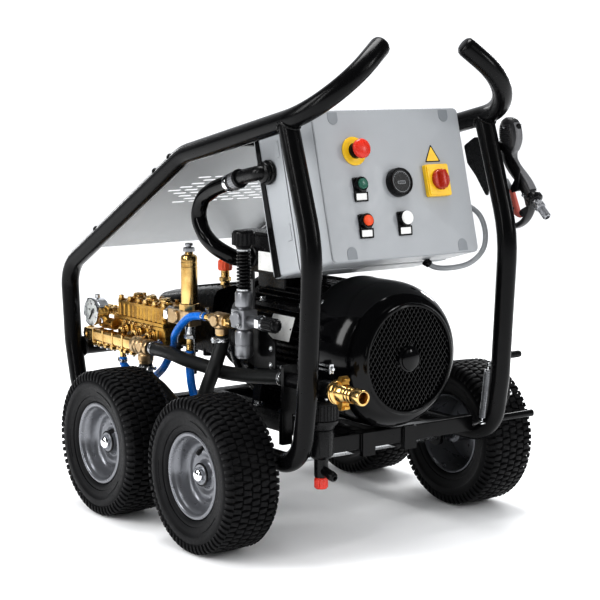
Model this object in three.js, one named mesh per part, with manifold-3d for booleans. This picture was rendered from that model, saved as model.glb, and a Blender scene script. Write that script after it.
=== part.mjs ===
// Electric high-pressure washer on four pneumatic tyres, in millimetres.
// +X points to the operator's end with the handles and the control box, the pump is at -X,
// the axles lie along Y, +Z is up and the ground is z = 0.
import * as THREE from 'three';
import { mergeVertices } from 'three/addons/utils/BufferGeometryUtils.js';
import Module from 'manifold-3d';

// ---- driving dimensions -------------------------------------------------------------------
const GAP = 0.3;                      // clearance between parts that touch
const TUBE_R = 21.2;                  // frame tube, 42.4 mm pipe
const FRAME_Y = 261;                  // centre plane of each side frame
const RAIL_Z = 198;                   // centre of the bottom rails
const BODY_CENTRE_X = 18.5;           // middle of the machine's length, moved onto x = 0

const TYRE_R = 165;                   // 13 x 5.00-6 tyre
const TYRE_HALF_WIDTH = 62.5;
const BEAD_R = 92.5;
const RIM_R = 90.8;
const WHEEL_Y = 350;                  // wheel mid-plane
const WHEEL_X = { pump: -140, operator: 246 };
const AXLE_R = 10;
const AXLE_Z = TYRE_R;

const MOTOR_Z = 400;                  // shaft height over the ground
const MOTOR = { back: 30, front: 290, finR: 150, rootR: 134, fins: 24, boreR: 24 };
const SHAFT_R = 21;
const FAN_COVER_R = 157;
const GRILLE_R = 110;
const FAN_COVER_END = 467;

const HEAD_Y = -120;                  // joint face between the crankcase and the pump head
const MANIFOLD = { y: -230, z: 358, r: 17, from: -487, to: -245 };
const TEE_X = -215;
const UNLOADER = { x: -72, y: -200 };
const GAUGE = { x: -444, y: -210, z: 414, r: 34, depth: 40 };
const OIL_CAP = { x: -151, y: -50, z: 530 };
const REGULATOR = { x: 190, y: -230 };
const ELBOW_X = 105;
const FILTER = { x: 424, y: -200 };
const INLET_Z = 360;

const BOX_TILT = THREE.MathUtils.degToRad(14.5);
const BOX = { width: 392, height: 314, lid: 115, body: 97, y: 6, r: 14 };
const BOX_FOOT = { x: 450.5, z: 611 };

const GUN_Y = 289;                    // inner side of the spray gun
const TRIGGER_PIN = { x: 478, z: 690, r: 5 };
const BRAKE_PIVOT = { x: 447, z: 292 };
const BRAKE_PIN_R = 6;

// ---- solids -------------------------------------------------------------------------------
const wasm = await Module();
wasm.setup();

function solid(geometry) {
  const bare = geometry.clone();
  bare.deleteAttribute('normal');
  bare.deleteAttribute('uv');
  const merged = mergeVertices(bare, 1e-3);
  const p = merged.attributes.position.array;
  const triangles = [];
  let volume = 0;
  for (let i = 0; i < merged.index.count; i += 3) {
    const [a, b, c] = [0, 1, 2].map((k) => merged.index.array[i + k]);
    if (a === b || b === c || c === a) continue;
    triangles.push(a, b, c);
    const [A, B, C] = [a, b, c].map((v) => new THREE.Vector3().fromArray(p, 3 * v));
    volume += A.dot(B.cross(C));
  }
  if (volume < 0) triangles.reverse();
  const vertProperties = new Float32Array(p);
  const triVerts = new Uint32Array(triangles);
  return new wasm.Manifold(new wasm.Mesh({ numProp: 3, vertProperties, triVerts }));
}

function fromSolid(manifold) {
  const mesh = manifold.getMesh();
  const geometry = new THREE.BufferGeometry();
  geometry.setAttribute('position', new THREE.BufferAttribute(mesh.vertProperties, 3));
  geometry.setIndex(new THREE.BufferAttribute(mesh.triVerts, 1));
  geometry.computeVertexNormals();
  return geometry;
}

function join(...geometries) {
  return fromSolid(geometries.map(solid).reduce((sum, next) => sum.add(next)));
}

function cut(base, ...tools) {
  return fromSolid(tools.map(solid).reduce((rest, tool) => rest.subtract(tool), solid(base)));
}

// ---- primitive shapes, each a closed geometry ---------------------------------------------
function block(x0, x1, y0, y1, z0, z1) {
  const geometry = new THREE.BoxGeometry(x1 - x0, y1 - y0, z1 - z0);
  return geometry.translate((x0 + x1) / 2, (y0 + y1) / 2, (z0 + z1) / 2);
}

// Turns a profile of [radius, height] pairs about an axis through (x, y, z).
function turned(profile, segments, axis, x = 0, y = 0, z = 0) {
  const points = profile.map(([r, h]) => new THREE.Vector2(r, h));
  const geometry = new THREE.LatheGeometry(points, segments, Math.PI / segments);
  if (axis === 'x') geometry.rotateZ(-Math.PI / 2);
  if (axis === 'z') geometry.rotateX(Math.PI / 2);
  return geometry.translate(x, y, z);
}

// A round bar along an axis, from one coordinate to another on that axis.
function bar(radius, from, to, segments, axis, x = 0, y = 0, z = 0) {
  return turned([[0, from], [radius, from], [radius, to], [0, to]], segments, axis, x, y, z);
}

// A closed outline in the XZ plane, given depth along Y.
function plateXZ(points, y0, y1) {
  const shape = new THREE.Shape(points.map(([x, z]) => new THREE.Vector2(x, z)));
  const geometry = new THREE.ExtrudeGeometry(shape, { depth: y1 - y0, bevelEnabled: false });
  return geometry.rotateX(Math.PI / 2).translate(0, y1, 0);
}

// A closed outline in the YZ plane, given depth along X.
function plateYZ(shape, x0, x1) {
  const geometry = new THREE.ExtrudeGeometry(shape, { depth: x1 - x0, bevelEnabled: false });
  return geometry.rotateX(Math.PI / 2).rotateZ(Math.PI / 2).translate(x0, 0, 0);
}

// Straight runs joined by round bends, as a curve whose even steps hit each station.
class Route extends THREE.Curve {
  constructor(stations) {
    super();
    this.stations = stations;
  }
  getPoint(t, target = new THREE.Vector3()) {
    const place = THREE.MathUtils.clamp(t, 0, 1) * (this.stations.length - 1);
    const i = Math.min(Math.floor(place), this.stations.length - 2);
    return target.copy(this.stations[i]).lerp(this.stations[i + 1], place - i);
  }
  getUtoTmapping(u) {
    return u;
  }
}

// Rounds each inner corner [x, y, z, bendRadius] of a polyline with an arc of short steps.
function bentRoute(corners, stepDegrees = 20) {
  const at = corners.map(([x, y, z]) => new THREE.Vector3(x, y, z));
  const stations = [at[0]];
  for (let i = 1; i < at.length - 1; i += 1) {
    const into = at[i].clone().sub(at[i - 1]).normalize();
    const out = at[i + 1].clone().sub(at[i]).normalize();
    const angle = into.angleTo(out);
    const reach = corners[i][3] * Math.tan(angle / 2);
    const start = at[i].clone().addScaledVector(into, -reach);
    const side = out.clone().addScaledVector(into, -into.dot(out)).normalize();
    const steps = Math.max(1, Math.ceil(THREE.MathUtils.radToDeg(angle) / stepDegrees));
    for (let k = 0; k <= steps; k += 1) {
      const turn = (angle * k) / steps;
      const point = start.clone().addScaledVector(into, corners[i][3] * Math.sin(turn));
      stations.push(point.addScaledVector(side, corners[i][3] * (1 - Math.cos(turn))));
    }
  }
  stations.push(at[at.length - 1]);
  return new Route(stations);
}

function roundSection(radius, sides) {
  const points = [];
  for (let i = 0; i < sides; i += 1) {
    const angle = (2 * Math.PI * (i + 0.5)) / sides;
    points.push(new THREE.Vector2(radius * Math.cos(angle), radius * Math.sin(angle)));
  }
  return new THREE.Shape(points);
}

function pipe(route, radius, sides) {
  const steps = route.stations.length - 1;
  return new THREE.ExtrudeGeometry(roundSection(radius, sides), { steps, extrudePath: route });
}

// A hose that runs smoothly through hand-placed points.
function hose(points, radius, steps, sides = 8) {
  const through = points.map((point) => new THREE.Vector3(...point));
  const extrudePath = new THREE.CatmullRomCurve3(through, false, 'centripetal');
  return new THREE.ExtrudeGeometry(roundSection(radius, sides), { steps, extrudePath });
}

// ---- scene graph --------------------------------------------------------------------------
const washer = new THREE.Group();
const machine = new THREE.Group();
machine.position.x = -BODY_CENTRE_X;
washer.add(machine);

const finish = {
  black: { color: 0x151517, roughness: 0.4, metalness: 0.3 },
  castBlack: { color: 0x1b1b1d, roughness: 0.5, metalness: 0.4 },
  rubber: { color: 0x232325, roughness: 0.8, metalness: 0 },
  silver: { color: 0xb4b6ba, roughness: 0.35, metalness: 0.8 },
  chrome: { color: 0xdedfe2, roughness: 0.12, metalness: 1 },
  brass: { color: 0xc79a45, roughness: 0.25, metalness: 1 },
  zinc: { color: 0x8f9296, roughness: 0.4, metalness: 0.8 },
  boxGrey: { color: 0xc3c8cd, roughness: 0.5, metalness: 0 },
  sheetGrey: { color: 0xb0b4b7, roughness: 0.35, metalness: 0.6 },
  red: { color: 0xd8341f, roughness: 0.4, metalness: 0 },
  yellow: { color: 0xf0c419, roughness: 0.4, metalness: 0 },
  green: { color: 0x2c6b45, roughness: 0.4, metalness: 0 },
  white: { color: 0xeeeeec, roughness: 0.3, metalness: 0 },
  blue: { color: 0x1f6fc0, roughness: 0.4, metalness: 0 },
};

function add(name, geometry, look, parent = machine) {
  const mesh = new THREE.Mesh(geometry, new THREE.MeshStandardMaterial(finish[look]));
  mesh.name = name;
  parent.add(mesh);
  return mesh;
}

// ---- side frames: one bent tube each, with the handle, the axle lugs and the weld collar ----
const JOINT = { x: 392, z: 897 };     // where the operator's post meets the upper tube
const LUG = { width: 44, thickness: 10, below: 20 };   // plates under the rails that hold the axles

function sideFrame(side) {
  const y = side * FRAME_Y;
  const loop = bentRoute([
    [498, side * 106, 1048],
    [537, y, 929, 136],
    [9, y, 813, 150],
    [-520, y, 519, 80],
    [-505, y, 338, 150],
    [-469.5, y, RAIL_Z, 75],
    [436, y, RAIL_Z + 3, 75],
    [458, y, 335, 200],
    [476.5, y, 647, 300],
    [JOINT.x + 10, y, JOINT.z - 28],
  ]);
  const collar = bentRoute([[JOINT.x + 16, y, JOINT.z - 46], [JOINT.x + 3, y, JOINT.z - 9]]);
  const axles = Object.values(WHEEL_X);
  const [half, thick] = [LUG.width / 2, LUG.thickness / 2];
  const lugs = axles.map((x) => block(x - half, x + half, y - thick, y + thick, AXLE_Z - LUG.below, RAIL_Z));
  const bores = axles.map((x) => bar(AXLE_R + GAP, y - 9, y + 9, 16, 'y', x, 0, AXLE_Z));
  const parts = [pipe(loop, TUBE_R, 8), pipe(collar, TUBE_R + 1, 8), ...lugs];
  if (side > 0) parts.push(bar(BRAKE_PIN_R, y + 10, y + 42, 10, 'y', BRAKE_PIVOT.x, 0, BRAKE_PIVOT.z));
  return cut(join(...parts), ...bores);
}

add('side_frame_left', sideFrame(-1), 'black');
add('side_frame_right', sideFrame(1), 'black');

const BETWEEN = FRAME_Y - TUBE_R - 0.5;
add('pump_end_cross_tube', bar(TUBE_R, -BETWEEN, BETWEEN, 12, 'y', -501, 0, 322), 'black');

// ---- cross beams and motor rails -----------------------------------------------------------
const RAIL = { inner: 40, outer: 73, top: 240, bottom: 190 };
const BEAM_X = { operator: 372, pump: -175 };

// A block whose Y extent lies between two distances from the middle, on one side of it.
function sideBlock(x0, x1, side, inner, outer, z0, z1) {
  const [near, far] = [side * inner, side * outer].sort((a, b) => a - b);
  return block(x0, x1, near, far, z0, z1);
}

const beamEnds = [-1, 1].map((side) => sideBlock(
  BEAM_X.operator, BEAM_X.operator + 30, side, RAIL.inner, RAIL.outer, RAIL.bottom, RAIL.top,
));
const operatorBeam = block(BEAM_X.operator, BEAM_X.operator + 23, -BETWEEN, BETWEEN, 205, RAIL.top);
add('cross_beam_operator_end', join(operatorBeam, ...beamEnds), 'black');
add('cross_beam_pump_end', block(BEAM_X.pump - 40, BEAM_X.pump, -BETWEEN, BETWEEN, 200, RAIL.top), 'black');

for (const [name, side] of [['left', -1], ['right', 1]]) {
  const [start, end] = [BEAM_X.pump + GAP, BEAM_X.operator - GAP];
  const rail = sideBlock(start, end, side, RAIL.inner, RAIL.outer, RAIL.bottom, RAIL.top);
  const outlet = bar(13, -98, -70, 10, 'y', -78, 0, 212);
  add(`motor_rail_${name}`, side < 0 ? join(rail, outlet) : rail, 'black');
}

// ---- wheels and axles ----------------------------------------------------------------------
const TYRE_SEGMENTS = 18;
const TYRE_CORNER_R = TYRE_R / Math.cos(Math.PI / TYRE_SEGMENTS);   // flats lie at TYRE_R
const tyreProfile = [
  [BEAD_R, -54], [122, -TYRE_HALF_WIDTH], [145, -TYRE_HALF_WIDTH], [TYRE_CORNER_R, -46],
  [TYRE_CORNER_R, 46], [145, TYRE_HALF_WIDTH], [122, TYRE_HALF_WIDTH], [BEAD_R, 54],
  [BEAD_R, 42], [148, 50], [148, -50], [BEAD_R, -42], [BEAD_R, -54],
];
// The dish faces +height, so it is mirrored on the left side.
const rimProfile = [
  [AXLE_R + 1, 26], [22, 26], [27, 12], [58, 16], [76, 42], [RIM_R, 48], [RIM_R, -48], [87, -48],
  [87, 40], [80, 37], [60, 10], [22, 6], [22, -34], [AXLE_R + 1, -34], [AXLE_R + 1, 26],
];

for (const [end, x] of Object.entries(WHEEL_X)) {
  for (const [name, side] of [['left', -1], ['right', 1]]) {
    const rim = rimProfile.map(([r, h]) => [r, side * h]);
    const y = side * WHEEL_Y;
    add(`tyre_${end}_${name}`, join(turned(tyreProfile, TYRE_SEGMENTS, 'y', x, y, AXLE_Z)), 'rubber');
    add(`rim_${end}_${name}`, join(turned(rim, 12, 'y', x, y, AXLE_Z)), 'silver');
  }
  const half = [[AXLE_R, 0], [AXLE_R, 376.5], [17, 376.5], [16, 385], [9, 391], [0, 393]];
  const mirrored = half.slice(1).reverse().map(([r, h]) => [r, -h]);
  add(`axle_${end}_end`, turned([...mirrored, ...half.slice(1)], 12, 'y', x, 0, AXLE_Z), 'chrome');
}

// ---- electric motor ------------------------------------------------------------------------
function finOutline() {
  const points = [];
  const pitch = (2 * Math.PI) / MOTOR.fins;
  for (let i = 0; i < MOTOR.fins; i += 1) {
    const fin = [[MOTOR.rootR, -0.17], [MOTOR.finR, -0.12], [MOTOR.finR, 0.12], [MOTOR.rootR, 0.17]];
    for (const [r, share] of fin) {
      const angle = (i + share) * pitch;
      points.push(new THREE.Vector2(r * Math.cos(angle), MOTOR_Z + r * Math.sin(angle)));
    }
  }
  return new THREE.Shape(points);
}

function motorBody() {
  const fins = plateYZ(finOutline(), MOTOR.back + 26, MOTOR.front - 20);
  const endShields = [
    bar(143, MOTOR.back, MOTOR.back + 30, 20, 'x', 0, 0, MOTOR_Z),
    bar(143, MOTOR.front - 26, MOTOR.front, 20, 'x', 0, 0, MOTOR_Z),
  ];
  const feet = [-1, 1].flatMap((side) => [
    sideBlock(60, 260, side, 38, 130, RAIL.top + GAP, 258),
    sideBlock(70, 250, side, 95, 118, 255, 310),
  ]);
  const pad = block(36, 138, -85, 30, 520, 551);
  const ledge = block(120, 285, -150, -98, 488, 496);
  const bore = bar(MOTOR.boreR, MOTOR.back - 5, MOTOR.front + 5, 12, 'x', 0, 0, MOTOR_Z);
  return cut(join(fins, ...endShields, ...feet, pad, ledge), bore);
}

add('motor_body', motorBody(), 'castBlack');

function fanCover() {
  const shell = turned([
    [FAN_COVER_R - 3, MOTOR.front + 1], [FAN_COVER_R, MOTOR.front + 1], [FAN_COVER_R + 1, 380],
    [150, 432], [132, 456], [116, FAN_COVER_END], [GRILLE_R - 6, FAN_COVER_END], [GRILLE_R - 6, 459],
    [129, 450], [146, 428], [FAN_COVER_R - 2.5, 378], [FAN_COVER_R - 3, MOTOR.front + 1],
  ], 20, 'x', 0, 0, MOTOR_Z);
  const disc = roundSection(GRILLE_R, 20);
  const pitch = 40;
  const reach = Math.ceil(GRILLE_R / pitch) * 2;
  for (let i = -reach; i <= reach; i += 1) {
    for (let k = -reach; k <= reach; k += 1) {
      const [u, v] = [((i + k) * pitch) / Math.SQRT2, ((i - k) * pitch) / Math.SQRT2];
      const half = (pitch - 9) / Math.SQRT2;
      if (Math.hypot(u, v) + half > GRILLE_R - 4) continue;
      const corners = [[u + half, v], [u, v + half], [u - half, v], [u, v - half]];
      disc.holes.push(new THREE.Path(corners.map(([p, q]) => new THREE.Vector2(p, q))));
    }
  }
  const grille = plateYZ(disc, 460, 464).translate(0, 0, MOTOR_Z);
  const hub = bar(20, 458, 472, 12, 'x', 0, 0, MOTOR_Z);
  return join(shell, grille, hub);
}

add('fan_cover', fanCover(), 'castBlack');

function rotor() {
  const shaft = turned([
    [0, -190], [14, -190], [14, -96], [SHAFT_R + 14, -84], [SHAFT_R + 14, 12], [SHAFT_R, 16],
    [SHAFT_R, 296], [118, 300], [118, 304], [30, 308], [30, 330], [0, 330],
  ], 12, 'x', 0, 0, MOTOR_Z);
  const blades = [];
  for (let i = 0; i < 7; i += 1) {
    const blade = block(302, 340, 22, 114, -2, 2);
    blades.push(blade.rotateX((2 * Math.PI * i) / 7).translate(0, 0, MOTOR_Z));
  }
  return join(shaft, ...blades);
}

add('rotor_shaft_and_fan', rotor(), 'silver');

function terminalBox() {
  const base = block(-8, 138, -112, 32, 551 + GAP, 606);
  const cover = block(-12, 142, -116, 36, 606, 640);
  const socketProfile = [[0, -108], [24, -108], [24, -120], [20, -122], [20, -133], [0, -133]];
  const socket = turned(socketProfile, 12, 'y', 45, 0, 584);
  return join(base, cover, socket);
}

add('terminal_box', terminalBox(), 'black');

// ---- bell housing and pump -----------------------------------------------------------------
const bellProfile = [[30, -99], [88, -99]];
for (const x of [-90, -72, -54]) {
  bellProfile.push([88, x - 3], [100, x - 1], [100, x + 1], [88, x + 3]);
}
bellProfile.push(
  [92, -40], [142, 2], [148, 8], [148, 29], [136, 29], [84, -34], [60, -60], [42, -92], [30, -92], [30, -99],
);
add('bell_housing', turned(bellProfile, 16, 'x', 0, 0, MOTOR_Z), 'castBlack');

function crankcase() {
  const outline = new THREE.Shape();
  outline.moveTo(-119, 345);
  outline.lineTo(60, 330);
  outline.quadraticCurveTo(92, 345, 92, 400);
  outline.quadraticCurveTo(88, 490, 20, 496);
  outline.lineTo(-60, 496);
  outline.quadraticCurveTo(-100, 490, -119, 462);
  outline.closePath();
  const shell = plateYZ(outline, -345, -99.4);
  const bore = bar(17, -200, -95, 12, 'x', 0, 0, MOTOR_Z);
  const stem = bar(11, 480, OIL_CAP.z - GAP, 10, 'z', OIL_CAP.x, OIL_CAP.y, 0);
  const ribs = [-320, -285, -250, -215, -180, -130].map((x) => block(x - 3, x + 3, -60, 40, 492, 501));
  return cut(join(shell, stem, ...ribs), bore);
}

add('pump_crankcase', crankcase(), 'castBlack');

function pumpHead() {
  const lower = block(-400, -182, -200, HEAD_Y - 0.4, 357, 402);
  const upper = block(-396, -186, -186, HEAD_Y - 0.4, 402, 446);
  const caps = [-352, -291, -230].flatMap((x) => [
    bar(19, 444, 468, 6, 'z', x, -153, 0),
    bar(15, -222, -198, 6, 'y', x, 0, 395),
  ]);
  const gaugeArm = bar(11, -462, -398, 10, 'x', 0, -187, GAUGE.z);
  const web = block(-420, -398, -197, -170, 380, 424);
  const outlet = bar(14, -194, -170, 10, 'x', 0, -190, 437);
  return join(lower, upper, ...caps, gaugeArm, web, outlet);
}

add('pump_head', pumpHead(), 'brass');

function inletManifold() {
  const { y, z, r } = MANIFOLD;
  const tube = turned([
    [0, MANIFOLD.from], [r - 3, MANIFOLD.from], [r - 3, MANIFOLD.from + 8], [r, MANIFOLD.from + 8],
    [r, MANIFOLD.to], [r + 4, MANIFOLD.to], [r + 4, MANIFOLD.to + 12], [r - 1, MANIFOLD.to + 12],
    [r - 1, -190], [r - 5, -186], [0, -186],
  ], 12, 'x', 0, y, z);
  const ports = [-352, -291, -230].map((x) => bar(9, -238, -200.4, 8, 'y', x, 0, z + 2));
  const plugs = [-440, -379, -260].map((x) => bar(10, z - 27, z, 6, 'z', x, y, 0));
  const teeLeg = turned([[0, 318], [15, 318], [18, 326], [18, 350], [0, 350]], 12, 'z', TEE_X, y, 0);
  const barb = bar(9, z - 38, z, 8, 'z', -318, y, 0);
  return join(tube, ...ports, ...plugs, teeLeg, barb);
}

add('inlet_manifold', inletManifold(), 'brass');

function unloader() {
  const { x, y } = UNLOADER;
  const body = block(-141, -46, y - 20, y + 20, 422, 458);
  const column = turned([
    [0, 455], [23, 455], [23, 473], [19, 476], [19, 560], [21, 562], [21, 583], [7, 583],
    [7, 590], [0, 590],
  ], 12, 'z', x, y, 0);
  const inlet = bar(13, -169.7, -139, 10, 'x', 0, -190, 437);
  const drainProfile = [[0, 364.7], [9, 364.7], [9, 392], [13, 394], [13, 424], [0, 424]];
  const drain = turned(drainProfile, 10, 'z', x, y, 0);
  return join(body, column, inlet, drain);
}

add('unloader_valve', unloader(), 'brass');

const adjuster = [[0, 590.3], [13, 590.3], [13, 600], [9, 602], [9, 609], [0, 609]];
add('unloader_adjuster', turned(adjuster, 6, 'z', UNLOADER.x, UNLOADER.y, 0), 'brass');

// ---- pressure gauge, its dial faces -Y ------------------------------------------------------
function gaugeCase() {
  const { x, y, z, r, depth } = GAUGE;
  const cup = [
    [0, 0], [r - 3, 0], [r, -5], [r, -depth], [r - 4, -depth], [r - 4, -depth + 14], [0, -depth + 14],
  ];
  const stem = bar(8, -1, 11.5, 8, 'y', x, y, z);
  return join(turned(cup, 24, 'y', x, y, z), stem);
}

function gaugePointer() {
  const { x, y, z, depth } = GAUGE;
  const front = y - depth + 10;
  const needle = plateXZ([[-2.5, 9], [2.5, 9], [1, -24], [-1, -24]], front, front + 1.6);
  const hub = bar(4, front - 1, front + 3.6, 10, 'y', 0, 0, 0);
  return join(needle, hub).rotateY(THREE.MathUtils.degToRad(38)).translate(x, 0, z);
}

add('gauge_case', gaugeCase(), 'chrome');
add('gauge_pointer', gaugePointer(), 'black');

const oilCapProfile = [[0, 0], [17, 0], [17, 22], [13, 28], [0, 28]];
add('oil_cap', turned(oilCapProfile, 12, 'z', OIL_CAP.x, OIL_CAP.y, OIL_CAP.z), 'red');

// ---- regulator valve beside the motor -------------------------------------------------------
function regulatorBody() {
  const { x, y } = REGULATOR;
  const column = turned([
    [0, 387], [19, 387], [20, 391], [20, 446], [15, 450], [15, 495], [19, 499], [19, 530], [16, 532],
    [0, 532],
  ], 12, 'z', x, y, 0);
  const cross = block(x - 24, x + 26, y - 20, y + 20, 452, 493);
  const arm = turned([
    [0, x - 40], [11, x - 40], [11, x + 60], [17, x + 62], [17, x + 76], [12, x + 78], [12, x + 92],
    [16, x + 94], [16, x + 118], [12, x + 122], [0, x + 122],
  ], 12, 'x', 0, y, 470);
  return join(column, cross, arm);
}

add('regulator_body', regulatorBody(), 'zinc');

const springProfile = [[8, 0], [15.5, 0], [15.5, 88], [8, 88], [8, 0]];
add('regulator_spring', turned(springProfile, 12, 'z', REGULATOR.x, REGULATOR.y, 532 + GAP), 'black');

const knobProfile = [
  [0, 533], [6.5, 533], [6.5, 622], [18, 622], [19.5, 626], [19.5, 656], [16, 661], [0, 661],
];
add('regulator_knob', turned(knobProfile, 14, 'z', REGULATOR.x, REGULATOR.y, 0), 'black');

function elbow() {
  const { y } = REGULATOR;
  const run = turned([
    [0, 44], [8, 44], [8, 66], [12, 68], [12, 84], [18, 86], [18, 128], [13, 130], [13, 149.6], [0, 149.6],
  ], 10, 'x', 0, y, 458);
  const legProfile = [[0, 425], [15, 425], [15, 440], [19, 442], [19, 470], [0, 474]];
  const leg = turned(legProfile, 10, 'z', ELBOW_X, y, 0);
  return join(run, leg);
}

add('brass_elbow', elbow(), 'brass');

// ---- water inlet: filter and claw coupling --------------------------------------------------
function filterHead() {
  const { x, y } = FILTER;
  const lineProfile = [[0, 326], [12, 326], [12, 332], [16, 332], [16, 484], [0, 484]];
  const line = turned(lineProfile, 10, 'x', 0, y - 14, INLET_Z);
  const plate = block(331, 340, y - 34, y + 7, 286, 392);
  const leg = block(322, 336, y - 34, y - 8, 224, 300);
  const collar = turned([[0, 270], [27, 270], [37, 284], [37, 332], [30, 338], [0, 338]], 16, 'z', x, y, 0);
  const neck = block(x - 16, x + 16, y - 26, y + 10, 336, 364);
  return join(line, plate, leg, collar, neck);
}

add('filter_head', filterHead(), 'black');

function filterBowl() {
  const { x, y } = FILTER;
  const cup = turned([
    [0, 269.6], [26, 269.6], [25, 214], [15, 208], [15, 170], [0, 170],
  ], 16, 'z', x, y, 0);
  const spout = bar(6, 0, 38, 8, 'x').rotateY(0.25).translate(x + 10, y, 183);
  return join(cup, spout);
}

add('filter_bowl', filterBowl(), 'black');
const drainProfile = [[0, 146], [12, 146], [14.5, 149], [14.5, 169.7], [0, 169.7]];
add('drain_cap', turned(drainProfile, 12, 'z', FILTER.x, FILTER.y, 0), 'red');

function inletCoupling() {
  const y = FILTER.y - 14;
  const turnedBody = turned([
    [0, 484.3], [20, 484.3], [20, 492], [26, 495], [26, 508], [21, 510], [20, 524], [14, 530],
    [14, 573], [9, 573], [9, 540], [0, 540],
  ], 16, 'x', 0, y, INLET_Z);
  const lugHeights = [[-35, -12], [12, 35]];
  const lugs = lugHeights.map(([z0, z1]) => block(508, 524, y - 9, y + 9, INLET_Z + z0, INLET_Z + z1));
  return join(turnedBody, ...lugs);
}

add('inlet_coupling', inletCoupling(), 'brass');

// ---- hoses ---------------------------------------------------------------------------------
const SUCTION_ROUTE = [[-185.4, -230, 358], [-165, -230, 358], [-108, -230, 357], [-45, -228, 350],
  [29, -219, 344], [75, -212, 339], [186, -212, 346], [296, -214, 359], [325.6, -214, INLET_Z]];
const RETURN_ROUTE = [[ELBOW_X, -230, 424.6], [ELBOW_X, -230, 410], [102, -246, 360], [74, -246, 315],
  [37, -238, 272], [-12, -224, 243], [-60, -222, 236], [-110, -222, 243], [-165, -223, 267],
  [-207, -228, 286], [TEE_X, -230, 302], [TEE_X, -230, 317.6]];
const BYPASS_ROUTE = [[43.6, -230, 458], [26, -230, 458], [-16, -234, 451], [-50, -234, 431],
  [-95, -225, 399], [-128, -206, 372], [-170, -196, 332], [-214, -190, 296], [-262, -192, 272],
  [-305, -212, 280], [-318, -230, 304], [-318, -230, 319.6]];
const DRAIN_ROUTE = [[UNLOADER.x, -200, 364.4], [UNLOADER.x, -200, 320], [-70, -193, 268],
  [-74, -166, 224], [-78, -130, 212], [-78, -98.3, 212]];
const CONDUIT_ROUTE = [[96.4, -203, 757], [60, -203, 748], [16, -202, 734], [-26, -200, 710],
  [-41, -200, 674], [-26, -198, 640], [7, -190, 612], [34, -172, 594], [45, -154, 584], [45, -133.4, 584]];

add('suction_hose', hose(SUCTION_ROUTE, 15.5, 12), 'rubber');
add('return_hose', hose(RETURN_ROUTE, 15.5, 18), 'rubber');
add('bypass_hose', hose(BYPASS_ROUTE, 9, 26), 'blue');
add('drain_hose', hose(DRAIN_ROUTE, 9.5, 14), 'blue');
add('cable_conduit', hose(CONDUIT_ROUTE, 18, 14), 'black');

// ---- control box, in a frame tilted back about Y -------------------------------------------
// Here +X leaves the front panel, Y runs across and Z climbs the panel from its lower edge.
const panel = new THREE.Group();
panel.position.set(BOX_FOOT.x, BOX.y, BOX_FOOT.z);
panel.rotation.y = -BOX_TILT;
machine.add(panel);

function roundedRectangle(width, height, radius) {
  const shape = new THREE.Shape();
  const [w, h] = [width / 2, height / 2];
  shape.moveTo(-w + radius, -h);
  shape.lineTo(w - radius, -h);
  shape.quadraticCurveTo(w, -h, w, -h + radius);
  shape.lineTo(w, h - radius);
  shape.quadraticCurveTo(w, h, w - radius, h);
  shape.lineTo(-w + radius, h);
  shape.quadraticCurveTo(-w, h, -w, h - radius);
  shape.lineTo(-w, -h + radius);
  shape.quadraticCurveTo(-w, -h, -w + radius, -h);
  return shape;
}

function boxSlab(x0, x1, inset) {
  const shape = roundedRectangle(BOX.width - 2 * inset, BOX.height - 2 * inset, BOX.r - inset / 2);
  const settings = { depth: x1 - x0, bevelEnabled: false, curveSegments: 3 };
  const geometry = new THREE.ExtrudeGeometry(shape, settings);
  return geometry.rotateX(Math.PI / 2).rotateZ(Math.PI / 2).translate(x0, 0, BOX.height / 2);
}

const ROWS = { top: 227, middle: 157, low: 81 };
const COLUMNS = { left: -102, centre: 0, right: 104 };
const BUTTON = { r: 11.4, bezel: 15.5, height: 10, proud: 3.5 };

function lid() {
  const shell = cut(boxSlab(-BOX.lid, 0, 0), boxSlab(-BOX.lid - 5, -4, 4));
  const bezels = [ROWS.middle, ROWS.low].map((z) => turned([
    [BUTTON.r + 0.4, 0.5], [BUTTON.r + 0.4, BUTTON.height], [BUTTON.bezel, BUTTON.height], [BUTTON.bezel, -2],
    [0, -2], [0, 0.5], [BUTTON.r + 0.4, 0.5],
  ], 14, 'x', 0, COLUMNS.left, z));
  const labels = [[COLUMNS.left, ROWS.middle], [COLUMNS.left, ROWS.low], [COLUMNS.centre, ROWS.low]]
    .map(([y, z]) => block(-1, 3, y - 15, y + 15, z - 31, z - 18));
  return join(shell, ...bezels, ...labels);
}

const BODY_BACK = -BOX.lid - BOX.body;
add('control_box_lid', lid(), 'boxGrey', panel);
const bodyShell = cut(boxSlab(BODY_BACK, -BOX.lid - GAP, 0), boxSlab(BODY_BACK + 4, -BOX.lid + 5, 4));
add('control_box_body', bodyShell, 'boxGrey', panel);

// A black plate behind the box, with an arm to each upper frame tube.
const bracketPlate = block(BODY_BACK - 14, BODY_BACK - GAP, -185, 185, 12, 300);
const arms = [
  block(BODY_BACK - 34, BODY_BACK - GAP, -245, -150, 270, 300),
  block(BODY_BACK - 34, BODY_BACK - GAP, 150, 233, 270, 300),
];
add('control_box_bracket', join(bracketPlate, ...arms), 'black', panel);

const collarProfile = [[11.6, 0.3], [30, 0.3], [30, 4], [18, 6], [18, 14], [11.6, 14], [11.6, 0.3]];
const stopProfile = [[0, 6.5], [11, 6.5], [11, 20], [20, 22], [20, 31], [16, 37], [0, 38]];
add('emergency_stop_collar', turned(collarProfile, 20, 'x', 0, COLUMNS.left, ROWS.top), 'yellow', panel);
add('emergency_stop_button', turned(stopProfile, 16, 'x', 0, COLUMNS.left, ROWS.top), 'red', panel);

const meterProfile = [[0, 0.3], [27.5, 0.3], [27.5, 10], [25, 12], [0, 12]];
add('hour_meter', turned(meterProfile, 20, 'x', 0, COLUMNS.centre, ROWS.middle), 'black', panel);

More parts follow.
